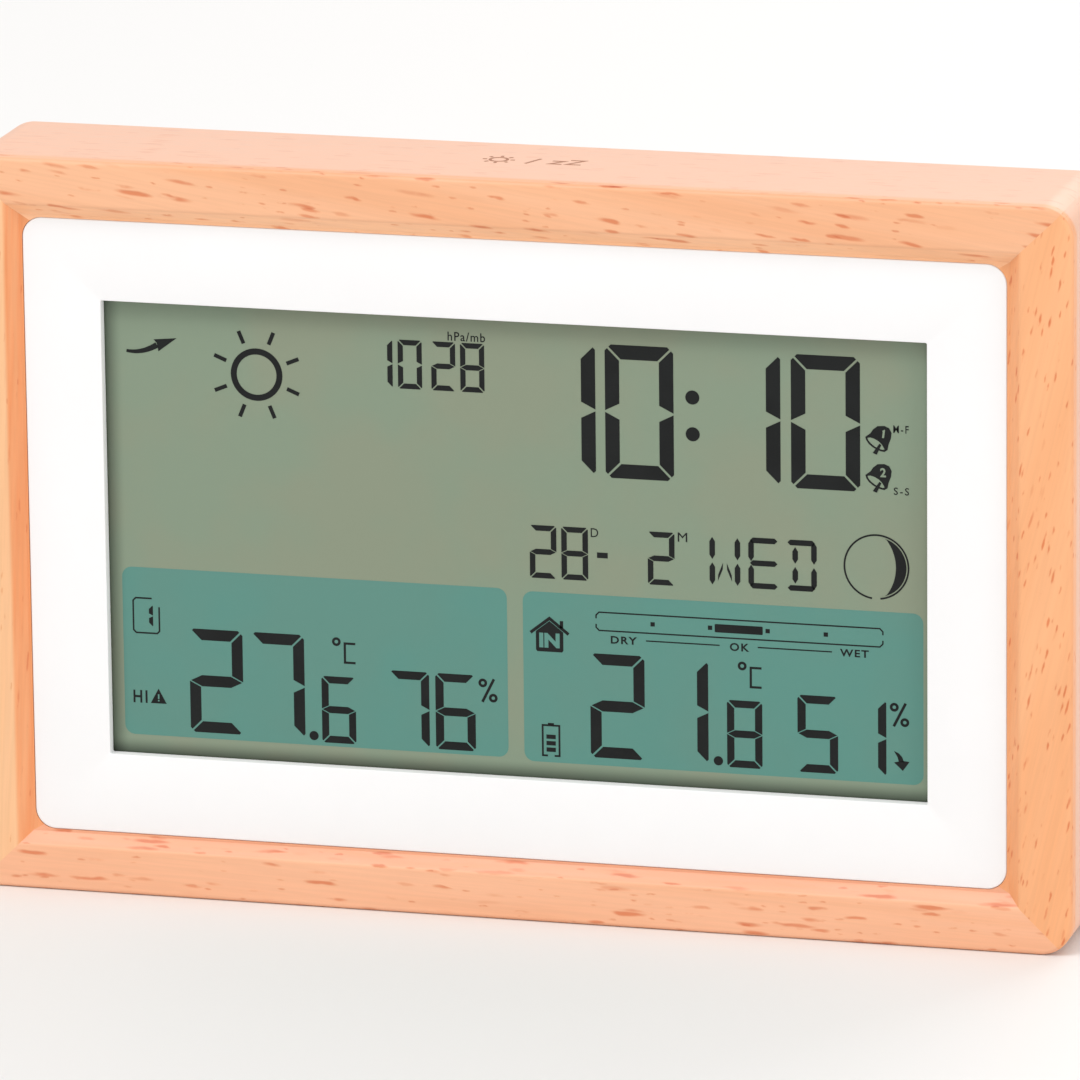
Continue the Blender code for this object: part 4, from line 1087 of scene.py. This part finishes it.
def make_display(materials):
    """The cell: a pale film, two tinted fields, and dark segments and symbols on top of one another."""
    layer = 0.015 * MM
    panel = GLASS_Y + 4 * layer

    def plane(level):
        return Marks((0, panel - level * layer, 0), (1, 0, 0), (0, 0, 1), (0, -1, 0), layer * 0.8)

    low, high = GLASS_LOW, GLASS_HIGH
    film = Marks((0, high.y, 0), (1, 0, 0), (0, 0, 1), (0, -1, 0), high.y - panel)
    film.box(low.x / MM, low.z / MM, high.x / MM, high.z / MM)
    film.piece("lcd_film", materials["lcd_film"], "lcd_cell", replaces=["lcd_front_glass"])

    fields = plane(0)
    fields.rounded_box(-59.6, 23.6, -1.38, 48.95, 1.5)
    fields.rounded_box(1.0, 23.25, 60.4, 48.75, 1.5)
    fields.piece("lcd_tinted_fields", materials["lcd_tint"], "lcd_cell")

    upper, upper_cuts, upper_over = plane(1), plane(2), plane(3)
    draw_trend_arrow(upper)
    draw_sun(upper, (-38.54, 78.80))
    draw_number(upper, (("1", -21.65), ("0", -17.25), ("2", -12.25), ("8", -7.92)), 77.88, 7.25, 3.60, 0.78, 0.18)
    upper.text("hPa/mb", -9.75, 85.36, 5.60, 1.34, 0.008, 1.15)
    draw_number(upper, (("1", 2.02), ("0", 13.60), ("1", 29.35), ("0", 41.05)), 66.32, 19.72, 10.14, 2.12, 0.32)
    upper.disc((26.53, 78.85), 1.04, 28)
    upper.disc((26.55, 73.43), 1.04, 28)
    draw_bell(upper, upper_cuts, upper_over, (53.9, 74.15), "1")
    draw_bell(upper, upper_cuts, upper_over, (53.9, 68.55), "2")
    upper.text("M-F", 56.05, 75.22, 2.25, 1.12, 0.008, 1.3)
    upper.text("S-S", 56.10, 66.12, 2.25, 1.10, 0.008, 1.3)
    upper.piece("lcd_pressure_and_time", materials["lcd_ink"], "lcd_cell")
    upper_cuts.piece("lcd_alarm_cutouts", materials["lcd_film"], "lcd_cell")
    upper_over.piece("lcd_alarm_clappers", materials["lcd_ink"], "lcd_cell")

    date = plane(1)
    draw_number(date, (("2", 2.15), ("8", 6.87), ("2", 19.74)), 50.80, 7.88, 3.98, 0.82, 0.17)
    date.text("D", 11.28, 57.36, 1.12, 1.32, 0.0, 1.0)
    date.text("M", 24.22, 57.41, 1.40, 1.36, 0.0, 1.0)
    date.box(12.18, 54.30, 13.78, 55.12)
    for letter, left in (("W", 28.90), ("E", 34.65), ("D", 40.20)):
        draw_letter(date, letter, left, 51.10, 4.55, 7.55, 0.82)
    draw_moon(date, (53.53, 55.33))
    date.piece("lcd_date_and_moon", materials["lcd_ink"], "lcd_cell")

    outdoor, outdoor_cuts = plane(1), plane(2)
    outdoor.stroke(CHANNEL_OUTLINE, 0.24)
    draw_digit(outdoor, "1", -57.4, 39.95, 2.40, 3.45, 0.62, 0.12)
    outdoor.text("HI", -58.25, 28.42, 2.15, 1.92, 0.02, 1.25)
    outdoor.polygon([(-55.62, 28.46), (-53.18, 28.46), (-54.38, 30.70)])
    draw_number(outdoor, (("2", -49.55), ("7", -40.2)), 24.50, 15.65, 8.12, 1.68, 0.28)
    outdoor.disc((-30.78, 25.05), 0.70)
    draw_digit(outdoor, "6", -29.52, 24.12, 5.16, 10.05, 1.06, 0.2)
    draw_degree_c(outdoor, -27.75, 40.05)
    draw_number(outdoor, (("7", -19.25), ("6", -12.30)), 24.18, 11.46, 6.02, 1.24, 0.22)
    draw_percent(outdoor, -5.74, 31.72)
    outdoor_cuts.box(-54.50, 28.78, -54.28, 29.00)
    outdoor_cuts.box(-54.50, 29.15, -54.28, 29.85)
    outdoor.piece("lcd_outdoor_reading", materials["lcd_ink"], "lcd_cell")
    outdoor_cuts.piece("lcd_outdoor_cutouts", materials["lcd_tint"], "lcd_cell")

    indoor, indoor_cuts = plane(1), plane(2)
    draw_house(indoor, indoor_cuts, 2.12, 39.85)
    draw_comfort_bar(indoor)
    draw_battery(indoor, 3.78, 24.15)
    draw_number(indoor, (("2", 10.98), ("1", 20.45)), 24.42, 15.60, 8.12, 1.66, 0.28)
    indoor.disc((30.02, 25.05), 0.70)
    draw_digit(indoor, "8", 31.34, 24.22, 5.24, 10.05, 1.08, 0.2)
    draw_degree_c(indoor, 33.06, 40.05)
    draw_number(indoor, (("5", 41.80), ("1", 48.92)), 24.18, 11.50, 6.0, 1.22, 0.22)
    draw_percent(indoor, 55.50, 31.82)
    indoor.polygon([(56.05, 28.15), (56.75, 27.85), (57.25, 27.30), (57.55, 26.55), (56.75, 26.60), (56.55, 27.30)])
    indoor.polygon([(56.05, 26.45), (57.35, 25.25), (58.35, 26.65), (57.60, 26.72), (56.75, 26.62)])
    indoor.piece("lcd_indoor_reading", materials["lcd_ink"], "lcd_cell")
    indoor_cuts.piece("lcd_indoor_cutouts", materials["lcd_tint"], "lcd_cell")


# ---------------------------------------------------------------- touch marks on the top rail


def make_touch_marks(material):
    """Scorched lines for the light and snooze field, in the middle of the top face."""
    thickness = EASE
    line = 0.45
    marks = Marks((0, 0, CAD_HIGH.z - thickness), (1, 0, 0), (0, 1, 0), (0, 0, 1), thickness)
    sun_x, sun_y = -4.7, 1.4
    marks.ring((sun_x, sun_y), 1.5, 1.5 - line, steps=24)
    for i in range(8):
        angle = math.radians(45 * i)
        ends = [(sun_x + r * math.cos(angle), sun_y + r * math.sin(angle)) for r in (1.75, 2.4)]
        marks.stroke(ends, line)
    marks.stroke([(-0.3, -0.4), (1.2, 3.0)], line)
    for left, width, low, high in ((3.2, 1.8, 0.1, 2.0), (5.7, 2.1, 0.2, 2.9)):
        right = left + width
        marks.stroke([(left, high), (right, high), (left, low), (right, low)], line)
    marks.piece("touch_marks", material, "beech")


# ---------------------------------------------------------------- rear keys, screws, batteries


def lathe(name, profile, origin, axis, steps=32):
    """A solid turned about an axis through the origin, from (radius, height) points in millimetres."""
    bm = bmesh.new()
    turn = Vector((0, 0, 1)).rotation_difference(Vector(axis)).to_matrix()
    rings = []
    for radius, height in profile:
        count = steps if radius > 0 else 1
        ring = []
        for i in range(count):
            angle = 2 * math.pi * i / steps
            point = Vector((radius * math.cos(angle), radius * math.sin(angle), height)) * MM
            ring.append(bm.verts.new(Vector(origin) + turn @ point))
        rings.append(ring)
    for near, far in zip(rings, rings[1:]):
        for i in range(steps):
            j = (i + 1) % steps
            corners = [near[i % len(near)], near[j % len(near)], far[j % len(far)], far[i % len(far)]]
            distinct = list(dict.fromkeys(corners))
            bm.faces.new(distinct)
    return mesh_from(name, bm)


def subtract(mesh, cutter):
    """The first mesh with the second one taken out of it."""
    objects = []
    for source in (mesh, cutter):
        holder = bpy.data.objects.new("holder", source)
        bpy.context.scene.collection.objects.link(holder)
        objects.append(holder)
    modifier = objects[0].modifiers.new("cut", "BOOLEAN")
    modifier.operation = "DIFFERENCE"
    modifier.object = objects[1]
    modifier.solver = "EXACT"
    bpy.context.view_layer.update()
    graph = bpy.context.evaluated_depsgraph_get()
    result = bpy.data.meshes.new_from_object(objects[0].evaluated_get(graph))
    for holder in objects:
        bpy.data.objects.remove(holder)
    bpy.data.meshes.remove(cutter)
    return result


def cross_cutter(centre, top, arm, width, depth):
    """A tapering cross that cuts a screw head from behind. Sizes are in millimetres."""
    bm = bmesh.new()
    rings = []
    for y, share in ((top + 0.2 * MM, 1.0), (top - depth * MM, 0.6)):
        long, short = arm * share * MM, width / 2 * share * MM
        outline = []
        for u, v in ((1, 0), (0, 1), (-1, 0), (0, -1)):
            outline += [
                (u * long + v * short, v * long - u * short),
                (u * long - v * short, v * long + u * short),
                ((u - v) * short, (u + v) * short),
            ]
        rings.append([bm.verts.new((centre[0] + a, y, centre[1] + b)) for a, b in outline])
    count = len(rings[0])
    for i in range(count):
        j = (i + 1) % count
        bm.faces.new((rings[0][i], rings[0][j], rings[1][j], rings[1][i]))
    for ring in rings:
        bm.faces.new(ring)
    return mesh_from("cross_cutter", bm)


def make_cover_screws(material):
    for number in range(1, 5):
        node = f"cover_screw_{number}"
        low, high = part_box(node)
        x, z = (low.x + high.x) / 2, (low.z + high.z) / 2
        length = (high.y - low.y) / MM
        profile = (
            (0, 0), (1.22, 1.5), (1.22, length - 1.6), (2.45, length - 1.6), (2.48, length - 0.75),
            (2.30, length - 0.35), (1.80, length - 0.10), (1.10, length - 0.02), (0, length - 0.02),
        )
        screw = lathe("screw", profile, (x, low.y, z), (0, 1, 0))
        cutter = cross_cutter((x, z), high.y, 1.35, 0.55, 0.95)
        add_piece(f"rear_screw_{number}", subtract(screw, cutter), material, replaces=[node])


def rounded_stack(name, centre, half_x, half_z, radius, rows):
    """A solid of rounded rectangles, one for each (inset, y) row, from front to back."""
    bm = bmesh.new()
    rings = []
    for inset, y in rows:
        corner = max(radius - inset, SHARP)
        ring = []
        for across, up, start in ((1, 1, 0), (-1, 1, 90), (-1, -1, 180), (1, -1, 270)):
            middle_x = centre[0] + across * (half_x - inset - corner)
            middle_z = centre[1] + up * (half_z - inset - corner)
            for i in range(9):
                angle = math.radians(start + 90 * i / 8)
                place = (middle_x + corner * math.cos(angle), y, middle_z + corner * math.sin(angle))
                ring.append(bm.verts.new(place))
        rings.append(ring)
    count = len(rings[0])
    for near, far in zip(rings, rings[1:]):
        for i in range(count):
            j = (i + 1) % count
            bm.faces.new((near[i], near[j], far[j], far[i]))
    bm.faces.new(rings[0])
    bm.faces.new(rings[-1])
    return mesh_from(name, bm)


KEY_FLANGE_RIM = 1.0 * MM
KEY_FLANGE_DEPTH = 0.8 * MM
KEY_EDGE = 0.3 * MM
KEY_DISH = 0.10 * MM


def make_keys(material):
    """Each key's cap has a rounded edge and a shallow dish for the finger."""
    for name in ("set", "plus", "minus", "alarm", "channel", "history"):
        node = f"button_{name}"
        low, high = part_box(node)
        centre = ((low.x + high.x) / 2, (low.z + high.z) / 2)
        half_x = (high.x - low.x) / 2
        half_z = (high.z - low.z) / 2
        back = high.y
        flange_back = COVER_HIGH.y - 2.3 * MM
        rim = KEY_FLANGE_RIM
        rows = [(0, flange_back - KEY_FLANGE_DEPTH), (0, flange_back), (rim, flange_back + 0.01 * MM)]
        for inset, y in arc((KEY_EDGE, back - KEY_EDGE), KEY_EDGE, 180, 90, 5):
            rows.append((rim + inset, y))
        rows += [(rim + 0.8 * MM, back), (rim + 1.5 * MM, back - KEY_DISH), (rim + 2.2 * MM, back - KEY_DISH)]
        mesh = rounded_stack(f"key_{name}", centre, half_x, half_z, half_z, rows)
        add_piece(f"key_{name}", mesh, material, f"key_{name}", [node])


def make_rear_symbols(material):
    """Printed signs above the keys, each about three millimetres high."""
    marks = Marks((0, COVER_HIGH.y, 0), (-1, 0, 0), (0, 0, 1), (0, 1, 0), 0.02 * MM)
    line = 0.42
    above = 3.4

    def centre_above(name):
        low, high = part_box(f"button_{name}")
        return -(low.x + high.x) / 2 / MM, high.z / MM + above

    u, v = centre_above("set")
    marks.ring((u, v), 1.05, 1.05 - line, steps=24)
    for i in range(8):
        angle = math.radians(45 * i)
        marks.stroke([(u + r * math.cos(angle), v + r * math.sin(angle)) for r in (1.0, 1.6)], line)
    u, v = centre_above("plus")
    marks.stroke([(u - 1.4, v), (u + 1.4, v)], line)
    marks.stroke([(u, v + line / 2), (u, v + 1.4)], line)
    marks.stroke([(u, v - line / 2), (u, v - 1.4)], line)
    u, v = centre_above("minus")
    marks.stroke([(u - 1.4, v), (u + 1.4, v)], line)
    u, v = centre_above("alarm")
    bell = [(-1.5, -0.9), (-1.0, -0.4), (-0.95, 0.5), (-0.5, 1.2), (0.5, 1.2), (0.95, 0.5), (1.0, -0.4), (1.5, -0.9)]
    marks.polygon([(u + a, v + b) for a, b in bell])
    marks.disc((u, v - 1.35), 0.35, 12)
    u, v = centre_above("channel")
    marks.disc((u, v - 0.9), 0.35, 12)
    for radius in (1.15, 2.0):
        marks.ring((u, v - 0.9), radius + line / 2, radius - line / 2, 40, 140, 14)
    u, v = centre_above("history")
    marks.ring((u, v), 1.5, 1.5 - line, steps=28)
    marks.stroke([(u, v + 0.95), (u, v), (u + 0.75, v)], 0.32)

    slide_low, slide_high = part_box("slide_switch_knob")
    u, v = -(slide_low.x + slide_high.x) / 2 / MM - 1.0, slide_high.z / MM + 1.6
    marks.polygon([(u - 1.7, v), (u + 1.7, v + 0.9), (u + 1.7, v)])
    marks.piece("rear_symbols", material, "rear_white")


def make_cells(jacket, steel):
    """Two cells: a jacket whose lips fold over steel ends."""
    for number, side in ((1, 1), (2, -1)):
        node = f"battery_{number}"
        low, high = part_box(node)
        start = low.x if side > 0 else high.x
        origin = (start, (low.y + high.y) / 2, (low.z + high.z) / 2)
        radius = (high.z - low.z) / 2 / MM - 0.01
        end = (high.x - low.x) / MM - 0.9
        axis = (side, 0, 0)
        tube = (
            (0, 0.16), (4.4, 0.16), (4.5, 0.02), (4.85, 0.02), (radius, 0.35), (radius, end - 0.6),
            (4.85, end - 0.12), (4.3, end - 0.12), (4.2, end - 0.4), (0, end - 0.4),
        )
        crown = (
            (0, end - 0.38), (4.0, end - 0.38), (4.0, end - 0.20), (1.9, end - 0.15),
            (1.9, end + 0.72), (1.72, end + 0.88), (0, end + 0.88),
        )
        base = ((0, 0.0), (4.2, 0.0), (4.3, 0.14), (0, 0.14))
        add_piece(f"cell_jacket_{number}", lathe("tube", tube, origin, axis, 40), jacket, replaces=[node])
        add_piece(f"cell_crown_{number}", lathe("crown", crown, origin, axis, 32), steel)
        add_piece(f"cell_base_{number}", lathe("base", base, origin, axis, 32), steel)


def carry_over(materials):
    """Every CAD node gets its slot's material and smooth shading, with sharp edges past 35 degrees."""
    slots = {row["node"]: row["material_slot"] for row in frame["record"]["subparts"]}
    for name, node in NODES.items():
        node.data.materials.clear()
        node.data.materials.append(materials[slots[name]])
        node.data.shade_smooth()
        node.data.set_sharp_from_angle(angle=math.radians(35))


def main():
    make_camera()
    make_studio()
    materials = {
        "bezel_white": plastic("bezel_white", (0.905, 0.900, 0.902), 0.38, strength=0.15),
        "lcd_film": lcd_film("lcd_film", rgb(132, 145, 125)),
        "lcd_tint": lcd_film("lcd_tint", rgb(91, 139, 129)),
        "lcd_ink": lcd_ink("lcd_ink", (0.006, 0.007, 0.007)),
        "lcd_cell": lcd_film("lcd_cell", rgb(132, 145, 125)),
        "beech": beech("beech_plain", 0, 0, (0, 0, 0)),
        "light_guide": clear_plastic("light_guide"),
        "board_green": board("board_green"),
        "epoxy_black": plastic("epoxy_black", (0.012, 0.012, 0.012), 0.2, 0.004, 0.0001),
        "black_plastic": plastic("black_plastic", (0.02, 0.02, 0.021), 0.45),
        "sensor_white": plastic("sensor_white", (0.80, 0.80, 0.79), 0.5),
        "steel": metal("steel", (0.60, 0.59, 0.57), 0.28),
        "copper": metal("copper", (0.84, 0.46, 0.28), 0.3),
        "elastomer": plastic("elastomer", (0.42, 0.06, 0.05), 0.55, 0.0004, 0.00003),
        "rear_white": plastic("rear_white", (0.80, 0.785, 0.76), 0.5, 0.00035, 0.00002, 0.45),
        "key_grey": plastic("key_grey", (0.62, 0.61, 0.59), 0.42),
        "cell_jacket": cell_wrap("cell_jacket"),
        "wire_red": plastic("wire_red", (0.50, 0.02, 0.015), 0.4, 0.0004),
        "wire_black": plastic("wire_black", (0.015, 0.015, 0.015), 0.4, 0.0004),
        "engraving": engraving("engraving"),
        "rear_print": plastic("rear_print", (0.16, 0.16, 0.165), 0.5),
    }
    carry_over(materials)
    make_frame()
    make_bezel(materials["bezel_white"])
    make_display(materials)
    make_touch_marks(materials["engraving"])
    make_keys(materials["key_grey"])
    make_rear_symbols(materials["rear_print"])
    make_cover_screws(materials["steel"])
    make_cells(materials["cell_jacket"], materials["steel"])


main()
